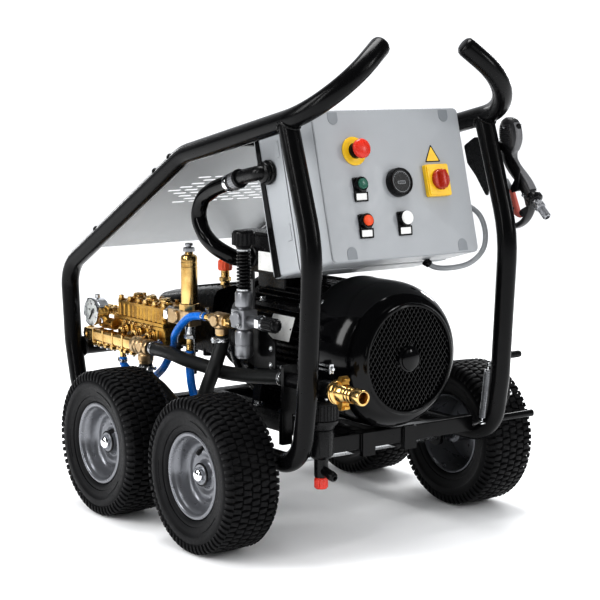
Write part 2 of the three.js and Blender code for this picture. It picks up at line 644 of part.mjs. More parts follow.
const switchPlate = block(0.3, 6, COLUMNS.right - 34, COLUMNS.right + 34, ROWS.middle - 34, ROWS.middle + 34);
const knobDisc = bar(20, 6.3, 22, 16, 'x', 0, COLUMNS.right, ROWS.middle);
const knobGrip = block(20, 34, COLUMNS.right - 6, COLUMNS.right + 6, ROWS.middle - 19, ROWS.middle + 19);
add('main_switch_plate', switchPlate, 'yellow', panel);
add('main_switch_knob', join(knobDisc, knobGrip), 'red', panel);

const buttonProfile = [
  [0, 5], [BUTTON.r, 5], [BUTTON.r, BUTTON.height + 2], [9, BUTTON.height + BUTTON.proud],
  [0, BUTTON.height + BUTTON.proud],
];
add('start_button', turned(buttonProfile, 14, 'x', 0, COLUMNS.left, ROWS.middle), 'green', panel);
add('stop_button', turned(buttonProfile, 14, 'x', 0, COLUMNS.left, ROWS.low), 'red', panel);

const lampProfile = [[0, 0.3], [15, 0.3], [15, 8], [12, 9], [11, 14], [6, 17], [0, 18]];
add('pilot_lamp', turned(lampProfile, 16, 'x', 0, COLUMNS.centre, ROWS.low), 'white', panel);

// The gland leaves the left side of the box and turns down to the conduit.
function conduitGland() {
  const nut = bar(22, -203, -190.4, 6, 'y', 214, 0, 783);
  const kneeCorners = [[214, -195, 783], [214, -214, 783, 14], [150, -209, 772, 60], [98.4, -203, 757.3]];
  const knee = bentRoute(kneeCorners, 30);
  const nutEnd = bentRoute([[128, -206.6, 765.4], [99, -203.2, 757.6]]);
  return join(nut, pipe(knee, 15, 8), pipe(nutEnd, 22, 8));
}

add('conduit_gland', conduitGland(), 'black');

// ---- top cover: a sheet folded where the upper tubes change slope ---------------------------
const COVER = { y: 243, lift: 17, thickness: 2 };
const coverLine = [[-466, 549], [9, 813], [140, 841]];
const coverTop = coverLine.map(([x, z]) => [x, z + COVER.lift + COVER.thickness]);
const coverBottom = coverLine.map(([x, z]) => [x, z + COVER.lift]).reverse();
add('top_cover', plateXZ([...coverTop, ...coverBottom], -COVER.y, COVER.y), 'sheetGrey');

// ---- spray gun on its holder, outside the right side frame ---------------------------------
function gunBody() {
  const outline = new THREE.Shape();
  outline.moveTo(405, 812);
  outline.lineTo(393, 868);
  outline.quadraticCurveTo(398, 894, 440, 894);
  outline.quadraticCurveTo(488, 892, 480, 850);
  outline.quadraticCurveTo(474, 826, 462, 818);
  outline.lineTo(489, 788);
  outline.lineTo(526, 750);
  outline.lineTo(545, 736);
  outline.lineTo(532, 712);
  outline.lineTo(516, 704);
  outline.lineTo(494, 678);
  outline.quadraticCurveTo(468, 652, 440, 662);
  outline.quadraticCurveTo(404, 690, 398, 760);
  outline.closePath();
  const guard = new THREE.Path();
  guard.moveTo(412, 786);
  guard.lineTo(409, 762);
  guard.quadraticCurveTo(414, 700, 446, 674);
  guard.quadraticCurveTo(464, 666, 480, 684);
  guard.lineTo(494, 712);
  guard.lineTo(488, 736);
  guard.lineTo(446, 780);
  guard.closePath();
  outline.holes.push(guard);
  const shape = new THREE.ExtrudeGeometry(outline, { depth: 36, bevelEnabled: false, curveSegments: 4 });
  shape.rotateX(Math.PI / 2).translate(0, GUN_Y + 36, 0);
  const outletProfile = [[0, -8], [13, -8], [18, 0], [18, 9], [11, 12], [11, 28], [8, 30], [8, 52], [0, 52]];
  const outlet = turned(outletProfile, 12, 'x');
  outlet.rotateY(THREE.MathUtils.degToRad(58)).translate(533, GUN_Y + 18, 738);
  const pocket = block(464, 490, GUN_Y + 9, GUN_Y + 27, 672, 704);
  const pin = bar(TRIGGER_PIN.r, GUN_Y, GUN_Y + 36, 10, 'y', TRIGGER_PIN.x, 0, TRIGGER_PIN.z);
  return join(cut(join(shape, outlet), pocket), pin);
}

add('spray_gun', gunBody(), 'black');

const triggerOutline = [[417, 772], [428, 772], [441, 744], [458, 712], [470, 700], [484, 699], [486, 688],
  [480, 681], [468, 683], [455, 692], [440, 714], [424, 746]];
const triggerEye = bar(TRIGGER_PIN.r + GAP, GUN_Y, GUN_Y + 36, 10, 'y', TRIGGER_PIN.x, 0, TRIGGER_PIN.z);
add('gun_trigger', cut(plateXZ(triggerOutline, GUN_Y + 10, GUN_Y + 26), triggerEye), 'red');

// The gun hangs by its trigger guard on a peg of the holder plate.
const HOLDER_FACE = FRAME_Y + TUBE_R + GAP;
const holderOutline = [[306, 828], [340, 848], [455, 852], [480, 800], [480, 730], [455, 730], [440, 790],
  [392, 800], [388, 716], [346, 764], [318, 790]];
const holderPeg = bar(7, HOLDER_FACE, GUN_Y + 40, 10, 'y', 468, 0, 743);
add('gun_holder', join(plateXZ(holderOutline, HOLDER_FACE, HOLDER_FACE + 4), holderPeg), 'black');

// ---- parking brake: a lever on the right frame presses a shoe on the tyre -------------------
function brakeLever() {
  const y = FRAME_Y + TUBE_R + 2;
  const { x, z } = BRAKE_PIVOT;
  const armOutline = [
    [x - 12, z - 4], [x - 34, z - 66], [x - 20, z - 72], [x + 12, z - 4], [x + 10, z + 92], [x - 8, z + 92],
  ];
  const arm = plateXZ(armOutline, y, y + 6);
  const shoe = bar(8, y, y + 108, 10, 'y', x - 24, 0, z - 60);
  const grip = bar(7, y, y + 46, 10, 'y', x, 0, z + 84);
  return cut(join(arm, shoe, grip), bar(BRAKE_PIN_R + GAP, y - 5, y + 12, 12, 'y', x, 0, z));
}

add('brake_lever', brakeLever(), 'black');

export default washer;
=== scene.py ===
"""Electric pressure washer: the visible surfaces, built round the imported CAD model.

Shapes are written in millimetres from the design origin on the ground, with +X towards the
operator's end. ORIGIN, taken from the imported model, brings them into the shared frame.
"""
import math

import bmesh
import bpy
from mathutils import Matrix, Vector, geometry


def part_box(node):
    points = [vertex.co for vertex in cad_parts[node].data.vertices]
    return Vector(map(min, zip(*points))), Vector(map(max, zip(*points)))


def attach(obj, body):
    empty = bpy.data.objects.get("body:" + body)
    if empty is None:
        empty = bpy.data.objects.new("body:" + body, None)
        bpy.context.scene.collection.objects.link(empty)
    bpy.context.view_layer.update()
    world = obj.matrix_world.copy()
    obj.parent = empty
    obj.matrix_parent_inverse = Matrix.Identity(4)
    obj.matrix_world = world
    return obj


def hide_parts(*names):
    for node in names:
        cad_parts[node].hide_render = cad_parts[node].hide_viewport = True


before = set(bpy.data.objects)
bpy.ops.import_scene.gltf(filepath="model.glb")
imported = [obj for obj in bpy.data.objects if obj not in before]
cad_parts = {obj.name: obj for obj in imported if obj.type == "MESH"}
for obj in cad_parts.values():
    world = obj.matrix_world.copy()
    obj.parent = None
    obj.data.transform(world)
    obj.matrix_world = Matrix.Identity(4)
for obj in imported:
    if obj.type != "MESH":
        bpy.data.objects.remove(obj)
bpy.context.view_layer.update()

MM = 0.001                            # metres in a millimetre


def low(node):
    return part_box(node)[0] / MM


def high(node):
    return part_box(node)[1] / MM


def middle(node):
    return (low(node) + high(node)) / 2


MOTOR_MIDDLE = 160.0                  # from the design origin to the middle of the motor
ORIGIN = Vector((middle("motor_body").x - MOTOR_MIDDLE, 0, 0))
AXIS = {"X": Vector((1, 0, 0)), "Y": Vector((0, 1, 0)), "Z": Vector((0, 0, 1)),
        "-X": Vector((-1, 0, 0)), "-Y": Vector((0, -1, 0)), "-Z": Vector((0, 0, -1))}
YZ = Matrix(((0, 0, 1, 0), (1, 0, 0, 0), (0, 1, 0, 0), (0, 0, 0, 1)))     # outline (y, z), depth along X
XZ = Matrix(((1, 0, 0, 0), (0, 0, -1, 0), (0, 1, 0, 0), (0, 0, 0, 1)))    # outline (x, z), depth along -Y


def from_origin(node):
    """The middle of a CAD node, measured from the design origin."""
    return middle(node) - ORIGIN


# ---- shapes ------------------------------------------------------------------------------------
def aim(axis, at=(0, 0, 0)):
    """A frame at a point whose Z runs along an axis: a letter, a direction, or a frame as it is."""
    if isinstance(axis, Matrix):
        return axis
    direction = AXIS[axis] if isinstance(axis, str) else Vector(axis).normalized()
    turn = Vector((0, 0, 1)).rotation_difference(direction).to_matrix().to_4x4()
    return Matrix.Translation(at) @ turn


def circle(radius, sides, phase=0.0):
    step = 2 * math.pi / sides
    return [(radius * math.cos(phase + i * step), radius * math.sin(phase + i * step)) for i in range(sides)]


def upright(points):
    """An outline of (x, z) points turned for a slab that goes along +Y."""
    return [(p[0], -p[1], *p[2:]) for p in points]


def endwise(points):
    """An outline of (y, z) points turned for a slab that goes along +X."""
    return [(-p[1], p[0]) for p in points]


def rounded(points, radius, steps=5):
    """A closed outline of 2D points with its corners rounded, by a radius or by a point's own third value."""
    result = []
    corners = [Vector(p[:2]) for p in points]
    radii = [p[2] if len(p) > 2 else radius for p in points]
    for i, corner in enumerate(corners):
        back = corners[i - 1] - corner
        on = corners[(i + 1) % len(corners)] - corner
        angle = back.angle(on)
        reach = min(radii[i] / math.tan(angle / 2), 0.49 * back.length, 0.49 * on.length)
        start = corner + back.normalized() * reach
        end = corner + on.normalized() * reach
        for k in range(steps + 1):
            t = k / steps
            result.append(start * (1 - t) ** 2 + corner * (2 * t * (1 - t)) + end * t ** 2)
    return result


def rounded_box(x0, x1, y0, y1, radius, steps=5):
    return rounded([(x0, y0), (x1, y0), (x1, y1), (x0, y1)], radius, steps)


def dome(radius, base, rise, angles):
    """Part of a profile: points up an oval dome at the given angles."""
    return [(radius * math.cos(a), base + rise * math.sin(a)) for a in angles]


def bent(corners, step=6.0):
    """Straight runs whose corners [x, y, z, radius] are rounded by arcs."""
    at = [Vector(c[:3]) for c in corners]
    path = [at[0]]
    for i in range(1, len(at) - 1):
        into = (at[i] - at[i - 1]).normalized()
        out = (at[i + 1] - at[i]).normalized()
        angle = into.angle(out)
        radius = corners[i][3]
        start = at[i] - into * radius * math.tan(angle / 2)
        side = (out - into * into.dot(out)).normalized()
        steps = max(2, math.ceil(math.degrees(angle) / step))
        for k in range(steps + 1):
            turn = angle * k / steps
            path.append(start + into * radius * math.sin(turn) + side * radius * (1 - math.cos(turn)))
    path.append(at[-1])
    return path


def flowing(points, steps=8):
    """A smooth centripetal path through given points."""
    p = [Vector(q) for q in points]
    p = [p[0] * 2 - p[1]] + p + [p[-1] * 2 - p[-2]]
    path = []
    for a, b, c, d in zip(p, p[1:], p[2:], p[3:]):
        t1 = (b - a).length ** 0.5
        t2 = t1 + (c - b).length ** 0.5
        t3 = t2 + (d - c).length ** 0.5
        for k in range(steps):
            t = t1 + (t2 - t1) * k / steps
            ab = a * ((t1 - t) / t1) + b * (t / t1)
            bc = b * ((t2 - t) / (t2 - t1)) + c * ((t - t1) / (t2 - t1))
            cd = c * ((t3 - t) / (t3 - t2)) + d * ((t - t2) / (t3 - t2))
            abc = ab * ((t2 - t) / t2) + bc * (t / t2)
            bcd = bc * ((t3 - t) / (t3 - t1)) + cd * ((t - t1) / (t3 - t1))
            path.append(abc * ((t2 - t) / (t2 - t1)) + bcd * ((t - t1) / (t2 - t1)))
    path.append(p[-2])
    return path


def carried_frames(path, loop=False):
    """A frame at each point of a path, turned along it with no twist."""
    frames = []
    side = None
    for i, point in enumerate(path):
        before = path[i - 1] if (i or loop) else point
        after = path[(i + 1) % len(path)] if (loop or i < len(path) - 1) else point
        along = (after - before).normalized()
        if side is None:
            side = along.orthogonal()
        side = (side - along * side.dot(along)).normalized()
        frames.append((point, side, along.cross(side)))
    return frames


class Form:
    """Closed solids in millimetres in one local frame, which become one piece."""

    def __init__(self, origin=None, turn=Matrix()):
        place = ORIGIN if origin is None else Vector(origin)
        self.world = Matrix.Scale(MM, 4) @ Matrix.Translation(place) @ turn
        self.bm = bmesh.new()
        self.looks = []

    def look_index(self, look):
        """A look's place among the piece's materials, at the end if it is new to the piece."""
        if look not in self.looks:
            self.looks.append(look)
        return self.looks.index(look)

    def skin(self, rings, look, loop=False):
        """Faces between rings of points; a ring of one point is a pole."""
        rows = [[self.bm.verts.new(p) for p in ring] for ring in rings]
        index = self.look_index(look)
        pairs = list(zip(rows, rows[1:]))
        if loop:
            pairs.append((rows[-1], rows[0]))
        for a, b in pairs:
            count = max(len(a), len(b))
            for i in range(count):
                j = (i + 1) % count
                corners = []
                for corner in (a[i % len(a)], a[j % len(a)], b[j % len(b)], b[i % len(b)]):
                    if corner not in corners:
                        corners.append(corner)
                if len(corners) > 2:
                    self.bm.faces.new(corners).material_index = index

    def capped(self, rings, look):
        """Faces between rings of points, closed to the middle of the first ring and of the last."""
        first, last = [[sum(rings[k], Vector()) / len(rings[k])] for k in (0, -1)]
        self.skin([first, *rings, last], look)

    def lathe(self, profile, look, axis="Z", at=(0, 0, 0), sides=48, loop=False, phase=0.0):
        """Turns (radius, height) pairs about an axis."""
        place = aim(axis, at)
        rings = []
        for radius, height in profile:
            points = circle(radius, sides, phase) if radius > 1e-6 else [(0, 0)]
            rings.append([place @ Vector((x, y, height)) for x, y in points])
        self.skin(rings, look, loop)

    def rod(self, radius, start, end, look, axis="Z", at=(0, 0, 0), sides=32, edge=0.6, phase=0.0):
        """A round or many-sided bar with softened ends."""
        soft = min(edge, radius / 2)
        profile = [(0, start), (radius - soft, start), (radius, start + soft),
                   (radius, end - soft), (radius - soft, end), (0, end)]
        self.lathe(profile, look, axis, at, sides, phase=phase)

    def tube(self, path, radius, look, sides=24, loop=False, flat=1.0):
        """A bar along a path; radius is a number or one for each point."""
        rings = []
        for i, (point, side, up) in enumerate(carried_frames(path, loop)):
            r = radius[i] if isinstance(radius, (list, tuple)) else radius
            rings.append([point + side * x + up * y * flat for x, y in circle(r, sides)])
        if not loop:
            rings = [[path[0]], *rings, [path[-1]]]
        self.skin(rings, look, loop)

    def ring(self, radius, thickness, look, axis="Z", at=(0, 0, 0), sides=64, section=12):
        """A round wire ring."""
        profile = [(radius + x, y) for x, y in circle(thickness, section)]
        self.lathe(profile, look, axis, at, sides, loop=True)

    def slab(self, outline, start, end, look, axis="Z", at=(0, 0, 0), holes=(), spin=0.0):
        """A flat outline, with any holes, given depth along an axis."""
        place = aim(axis, at) @ Matrix.Rotation(spin, 4, "Z")
        loops = [[Vector((p[0], p[1], 0)) for p in loop] for loop in (outline, *holes)]
        index = self.look_index(look)
        flat = [p for loop in loops for p in loop]
        levels = []
        for height in (start, end):
            levels.append([self.bm.verts.new(place @ Vector((p.x, p.y, height))) for p in flat])
        made = []
        for level in levels:
            for triangle in geometry.tessellate_polygon(loops):
                made.append(self.bm.faces.new([level[k] for k in triangle]))
        base = 0
        for loop in loops:
            for i in range(len(loop)):
                a, b = base + i, base + (i + 1) % len(loop)
                made.append(self.bm.faces.new([levels[0][a], levels[0][b], levels[1][b], levels[1][a]]))
            base += len(loop)
        for face in made:
            face.material_index = index

    def block(self, x0, x1, y0, y1, z0, z1, look, edge=0.0):
        """A box, with its upright edges rounded where edge is given."""
        corners = [(x0, y0), (x1, y0), (x1, y1), (x0, y1)]
        self.slab(rounded(corners, edge) if edge else corners, z0, z1, look)

    def bolt(self, at, axis, size, look, head="hex", washer=True, length=0.0):
        """A screw head on a surface: size is the thread's diameter."""
        base = 0.0
        if washer:
            self.rod(size * 1.05, 0, size * 0.16, look, axis, at, 28, 0.2)
            base = size * 0.16
        if head == "hex":
            self.rod(size * 0.92, base, base + size * 0.62, look, axis, at, 6, size * 0.1)
        elif head == "socket":
            rim, well = size * 0.8, size * 0.42
            self.lathe([(0, base), (rim, base), (rim, base + size * 0.85), (rim - 0.5, base + size * 0.95),
                        (well, base + size * 0.95)], look, axis, at, 24)
            self.lathe([(well, base + size * 0.95), (well, base + size * 0.4), (0, base + size * 0.4)],
                       look, axis, at, 6)
        else:
            round_top = dome(size * 0.9, base, size * 0.5, (0, 0.4, 0.8, 1.15))
            self.lathe([(0, base), *round_top, (0, base + size * 0.5)], look, axis, at, 24)
        if length:
            self.rod(size / 2, -length, 0, look, axis, at, 16)

    def piece(self, name, body, slot, replaces=(), bevel=0.0, crease=32.0, rounds=2):
        """Makes the object with its materials, gives it its body, and hides what it replaces."""
        self.bm.transform(self.world)
        bmesh.ops.recalc_face_normals(self.bm, faces=self.bm.faces[:])
        sharp = math.radians(crease)
        for face in self.bm.faces:
            face.smooth = True
        for edge in self.bm.edges:
            edge.smooth = edge.calc_face_angle(0.0) < sharp
        mesh = bpy.data.meshes.new(name)
        self.bm.to_mesh(mesh)
        self.bm.free()
        for look in self.looks:
            mesh.materials.append(look)
        made = bpy.data.objects.new(name, mesh)
        bpy.context.scene.collection.objects.link(made)
        if bevel:
            soften = made.modifiers.new("soft_edges", "BEVEL")
            soften.width = bevel * MM
            soften.segments = rounds
            soften.limit_method = "ANGLE"
            soften.angle_limit = sharp
            soften.harden_normals = True
        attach(made, body)
        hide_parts(*replaces)
        return made


# ---- materials ---------------------------------------------------------------------------------
class Look:
    """A procedural material: nodes behind the inputs of one Principled shader."""

    def __init__(self, name, **settings):
        self.material = bpy.data.materials.new(name)
        self.material.use_nodes = True
        self.nodes = self.material.node_tree.nodes
        self.links = self.material.node_tree.links
        self.shader = self.nodes["Principled BSDF"]
        self.place = self.nodes.new("ShaderNodeTexCoord").outputs["Object"]
        self.last_bump = None
        for socket, value in settings.items():
            self.shader.inputs[socket.replace("_", " ")].default_value = value

    def grain(self, scale, detail=3.0, stretch=(1, 1, 1)):
        """Noise over the surface; scale is in cells to the metre."""
        mapping = self.nodes.new("ShaderNodeMapping")
        mapping.inputs["Scale"].default_value = stretch
        texture = self.nodes.new("ShaderNodeTexNoise")
        texture.inputs["Scale"].default_value = scale
        texture.inputs["Detail"].default_value = detail
        self.links.new(self.place, mapping.inputs["Vector"])
        self.links.new(mapping.outputs["Vector"], texture.inputs["Vector"])
        return texture.outputs["Fac"]

    def edges(self, low_point=0.5, high_point=0.56):
        """White on outward edges: partly where use has worn the surface, partly a painted edge highlight."""
        point = self.nodes.new("ShaderNodeNewGeometry").outputs["Pointiness"]
        return self.span(point, 0.0, 1.0, low_point, high_point)

    def span(self, factor, new_low, new_high, old_low=0.3, old_high=0.7):
        """A factor stretched from one range to another; noise lies mostly between 0.3 and 0.7."""
        node = self.nodes.new("ShaderNodeMapRange")
        self.links.new(factor, node.inputs["Value"])
        for socket, value in (("From Min", old_low), ("From Max", old_high),
                              ("To Min", new_low), ("To Max", new_high)):
            node.inputs[socket].default_value = value
        return node.outputs["Result"]

    def colour(self, factor, stops):
        """Base colour from a ramp of (place, (r, g, b)) stops."""
        ramp = self.nodes.new("ShaderNodeValToRGB")
        ramp.color_ramp.elements.remove(ramp.color_ramp.elements[1])
        for i, (place, rgb) in enumerate(stops):
            stop = ramp.color_ramp.elements[0] if i == 0 else ramp.color_ramp.elements.new(place)
            stop.position = place
            stop.color = (*rgb, 1)
        self.links.new(factor, ramp.inputs["Fac"])
        return ramp.outputs["Color"]

    def blend(self, factor, a, b):
        """Colour a, going over to colour b as the factor rises."""
        mix = self.nodes.new("ShaderNodeMix")
        mix.data_type = "RGBA"
        for socket, value in ((mix.inputs[0], factor), (mix.inputs[6], a), (mix.inputs[7], b)):
            if isinstance(value, bpy.types.NodeSocket):
                self.links.new(value, socket)
            else:
                socket.default_value = value
        return mix.outputs[2]

    def base(self, colour):
        self.links.new(colour, self.shader.inputs["Base Color"])

    def rough(self, factor, smooth, dull):
        self.links.new(self.span(factor, smooth, dull), self.shader.inputs["Roughness"])

    def bump(self, factor, depth):
        """Adds relief of a depth in millimetres."""
        node = self.nodes.new("ShaderNodeBump")
        node.inputs["Strength"].default_value = 1.0
        node.inputs["Distance"].default_value = depth * MM
        self.links.new(factor, node.inputs["Height"])
        if self.last_bump:
            self.links.new(self.last_bump, node.inputs["Normal"])
        self.last_bump = node.outputs["Normal"]
        self.links.new(self.last_bump, self.shader.inputs["Normal"])


def shaded(rgb, share):
    return tuple(min(1.0, c * share) for c in rgb)


def paint(name, rgb, smooth, dull, peel=0.02, wear_and_highlight=0.12, cast=0.0, coat=0.0, gloss=0.5, metal=0.0,
          drift=0.16):
    """Sprayed paint: faint orange peel, slow drift of shade, paler edges that are partly wear and partly a
    painted highlight, cast skin if any.
    """
    look = Look(name, Coat_Weight=coat, Coat_Roughness=0.08, Specular_IOR_Level=gloss, Metallic=metal)
    worn_and_highlit = tuple(min(1.0, c * 1.5 + 0.02) for c in rgb)
    shade = look.colour(look.grain(9.0, 4.0), [(0.3, shaded(rgb, 1 - drift)), (0.7, shaded(rgb, 1 + drift))])
    # paler edges: partly worn paint, partly a painted edge highlight
    worn_and_highlit_edge = look.span(look.edges(), 0.0, wear_and_highlight, 0.0, 1.0)
    look.base(look.blend(worn_and_highlit_edge, shade, (*worn_and_highlit, 1)))
    look.rough(look.grain(60.0, 4.0), smooth, dull)
    look.bump(look.grain(900.0, 2.0), peel)
    if cast:
        look.bump(look.grain(420.0, 4.0), cast)
    return look.material


def bright_metal(name, rgb, smooth, dull, lines=0.01, cast=0.0, tarnish=None):
    """Metal with fine tool marks, handling marks, and cast skin or tarnish if any."""
    look = Look(name, Metallic=1.0)
    look.base(look.colour(look.grain(28.0, 5.0), [(0.32, tarnish or shaded(rgb, 0.86)), (0.55, rgb),
                                                  (0.8, shaded(rgb, 1.08))]))
    look.rough(look.grain(140.0, 5.0), smooth, dull)
    if lines:
        look.bump(look.grain(500.0, 2.0, (1.0, 1.0, 9.0)), lines)
    if cast:
        look.bump(look.grain(650.0, 4.0), cast)
    return look.material


def rubber(name, rgb, smooth, dull, grit=0.05, dust=0.0):
    """Matt rubber: fine grit, with paler patches where dust sits."""
    look = Look(name, Specular_IOR_Level=0.14)
    pale = tuple(c * 1.5 + dust * 0.05 for c in rgb)
    look.base(look.colour(look.grain(30.0, 5.0), [(0.35, rgb), (0.75, pale)]))
    look.rough(look.grain(200.0, 4.0), smooth, dull)
    look.bump(look.grain(1100.0, 3.0), grit)
    return look.material


def plastic(name, rgb, smooth, dull, texture=0.02, depth=0.85, gloss=0.5):
    """Moulded plastic with a fine spark-eroded grain and faint shade drift."""
    look = Look(name, Specular_IOR_Level=gloss)
    look.base(look.colour(look.grain(35.0, 4.0), [(0.3, shaded(rgb, depth)), (0.7, rgb)]))
    look.rough(look.grain(260.0, 3.0), smooth, dull)
    look.bump(look.grain(1500.0, 2.0), texture)
    return look.material


def braided_hose(name, rgb, smooth, dull, pitch=420.0):
    """Rubber hose with the cloth-wrap pattern left in its skin."""
    look = Look(name, Specular_IOR_Level=0.3)
    look.base(look.colour(look.grain(40.0, 5.0), [(0.35, rgb), (0.75, shaded(rgb, 1.7))]))
    look.rough(look.grain(180.0, 3.0), smooth, dull)
    look.bump(look.grain(pitch, 1.0, (1.0, 1.0, 0.35)), 0.12)
    look.bump(look.grain(1300.0, 2.0), 0.03)
    return look.material


def brushed_sheet(name, rgb, smooth, dull):
    """Cold-rolled sheet: fine lines along its length under a thin clear finish."""
    look = Look(name, Metallic=0.25)
    lines = look.grain(90.0, 2.0, (0.1, 1.6, 0.1))
    shade = look.colour(lines, [(0.25, shaded(rgb, 0.93)), (0.75, rgb)])
    look.base(look.blend(look.span(look.grain(7.0, 3.0), 0.0, 0.35), shade, (*shaded(rgb, 0.85), 1)))
    look.rough(lines, smooth, dull)
    look.bump(lines, 0.002)
    return look.material


FRAME_BLACK = paint("frame_black_powder_coat", (0.0018, 0.0018, 0.0021), 0.18, 0.28, peel=0.02, wear_and_highlight=0.06,
                    gloss=0.17)
GLOSS_BLACK = paint("gloss_black_enamel", (0.0012, 0.0012, 0.0015), 0.09, 0.15, peel=0.015, wear_and_highlight=0.04,
                    coat=0.05, gloss=0.22)
CAST_BLACK = paint("cast_black_enamel", (0.0018, 0.0018, 0.0022), 0.2, 0.32, peel=0.02, wear_and_highlight=0.06,
                   cast=0.06, gloss=0.22)
CAST_GREY = paint("cast_dark_grey", (0.035, 0.036, 0.038), 0.35, 0.5, cast=0.10)
TYRE = rubber("tyre_rubber", (0.003, 0.003, 0.0036), 0.38, 0.55, dust=0.03)
TREAD = rubber("tread_rubber", (0.0028, 0.0028, 0.0033), 0.45, 0.65, grit=0.08, dust=0.03)
RIM_SILVER = paint("rim_silver_lacquer", (0.19, 0.195, 0.21), 0.26, 0.33, peel=0.006, wear_and_highlight=0.06, metal=0.7)
CHROME = bright_metal("chrome_plate", (0.86, 0.87, 0.89), 0.04, 0.12, lines=0.0)
STEEL = bright_metal("zinc_plated_steel", (0.62, 0.63, 0.64), 0.18, 0.34, lines=0.01)
BRASS = bright_metal("machined_brass", (0.72, 0.50, 0.21), 0.16, 0.28, lines=0.01, tarnish=(0.52, 0.33, 0.11))
CAST_BRASS = bright_metal("cast_brass", (0.50, 0.30, 0.072), 0.24, 0.38, lines=0.0, cast=0.05,
                          tarnish=(0.34, 0.19, 0.05))
PALE_BRASS = bright_metal("forged_brass_fitting", (0.56, 0.42, 0.25), 0.30, 0.44, lines=0.0, cast=0.05,
                          tarnish=(0.44, 0.30, 0.16))
ZINC = bright_metal("zinc_casting", (0.30, 0.305, 0.32), 0.32, 0.46, lines=0.0, cast=0.05)
BLACK_PLASTIC = plastic("black_plastic", (0.003, 0.003, 0.0035), 0.24, 0.36, gloss=0.24)
MATT_BLACK = plastic("matt_black_fan", (0.0025, 0.0025, 0.0027), 0.6, 0.75, gloss=0.1)
GUN_PLASTIC = plastic("gun_grey_black_plastic", (0.022, 0.022, 0.0235), 0.3, 0.42, texture=0.05, gloss=0.4)
SOFT_GREY = plastic("soft_grey_plastic", (0.30, 0.31, 0.32), 0.4, 0.5)
BLACK_HOSE = braided_hose("black_hose_rubber", (0.005, 0.0055, 0.0055), 0.34, 0.48)
BLUE_HOSE = braided_hose("blue_hose", (0.004, 0.10, 0.36), 0.20, 0.32, pitch=600.0)
BOX_GREY = paint("box_grey_paint", (0.311, 0.323, 0.336), 0.30, 0.42, peel=0.03, wear_and_highlight=0.12, drift=0.03)
COVER_GREY = plastic("cover_grey_plastic", (0.22, 0.235, 0.25), 0.4, 0.5)
SHEET = brushed_sheet("brushed_sheet", (0.42, 0.435, 0.445), 0.36, 0.46)
RED = plastic("red_plastic", (0.60, 0.03, 0.012), 0.22, 0.34)
# pale grey that paints the highlight along the gun's back edge
EDGE_HIGHLIGHT_GREY = plastic("gun_edge_painted_highlight", (0.13, 0.13, 0.135), 0.34, 0.46)
PALE_RED = plastic("pale_red_plastic", (0.74, 0.17, 0.13), 0.3, 0.42)
DEEP_RED = plastic("deep_red_plastic", (0.36, 0.022, 0.008), 0.2, 0.32)
ORANGE_RED = plastic("orange_red_plastic", (0.72, 0.085, 0.02), 0.28, 0.4)
YELLOW = plastic("yellow_plastic", (0.78, 0.50, 0.015), 0.28, 0.4)
GREEN = plastic("green_plastic", (0.03, 0.12, 0.085), 0.2, 0.3)
WHITE = plastic("white_plastic", (0.78, 0.78, 0.76), 0.25, 0.35)


def glass():
    """Clear window of the gauge: thin, glossy, faintly smeared."""
    look = Look("gauge_window", IOR=1.2, Transmission_Weight=1.0)
    look.base(look.colour(look.grain(40.0), [(0.3, (0.94, 0.96, 0.96)), (0.7, (1, 1, 1))]))
    look.rough(look.grain(90.0, 4.0), 0.0, 0.04)
    return look.material


GLASS = glass()


# ---- camera, at the photograph's angle ---------------------------------------------------------
CAMERA_PLACE = (3.1576, -2.2656, 1.0118)
CAMERA_DIP, CAMERA_HEADING = 7.88, 53.83     # degrees below the horizon, and round from +Y


def camera():
    data = bpy.data.cameras.new("camera")
    data.lens = 103.2
    data.sensor_width = 36.0
    data.clip_end = 60.0
    made = bpy.data.objects.new("camera", data)
    made.location = CAMERA_PLACE
    made.rotation_euler = (math.radians(90 - CAMERA_DIP), 0.0, math.radians(CAMERA_HEADING))
    bpy.context.scene.collection.objects.link(made)
    bpy.context.scene.camera = made


camera()

# ---- side frames -------------------------------------------------------------------------------
TUBE_R = 21.2
FRAME_Y = 261.0
AXLE_Z = 165.0
WHEEL_X = {end: from_origin(f"axle_{end}_end").x for end in ("pump", "operator")}
JOINT = Vector((392, 0, 897))         # where the operator's post meets the upper tube
UPPER = (Vector((9, 0, 813)), Vector((537, 0, 929)))
POST_FOOT = Vector((476.5, 0, 647))
RAIL = (40, 73)                       # a motor rail's sides, from the mid-plane


def weld_bead(form, path, size, loop=True):
    """A weld: a thin rod along a seam, its ripples made by the radius."""
    ripple = [size * (1 + 0.16 * math.sin(i * 2.2)) for i in range(len(path))]
    form.tube(path, ripple, FRAME_BLACK, 10, loop)


def upright_weld(form, x, y, start, end, size):
    weld_bead(form, [Vector((x, y, z)) for z in range(start, end, 3)], size, False)


def saddle(foot, along, bar_point, bar_along, radius, count=72):
    """Where a tube, going along, meets another tube of the same radius."""
    across = AXIS["Y"]
    up = along.cross(across).normalized()
    seam = []
    for i in range(count):
        turn = 2 * math.pi * i / count
        start = foot + (across * math.cos(turn) + up * math.sin(turn)) * radius
        offset = start - bar_point
        offset -= bar_along * offset.dot(bar_along)
        run = along - bar_along * along.dot(bar_along)
        a, b, c = run.dot(run), 2 * run.dot(offset), offset.dot(offset) - (radius + 0.5) ** 2
        depth = max(0.0, b * b - 4 * a * c) ** 0.5
        seam.append(start + along * ((-b - depth) / (2 * a)))
    return seam


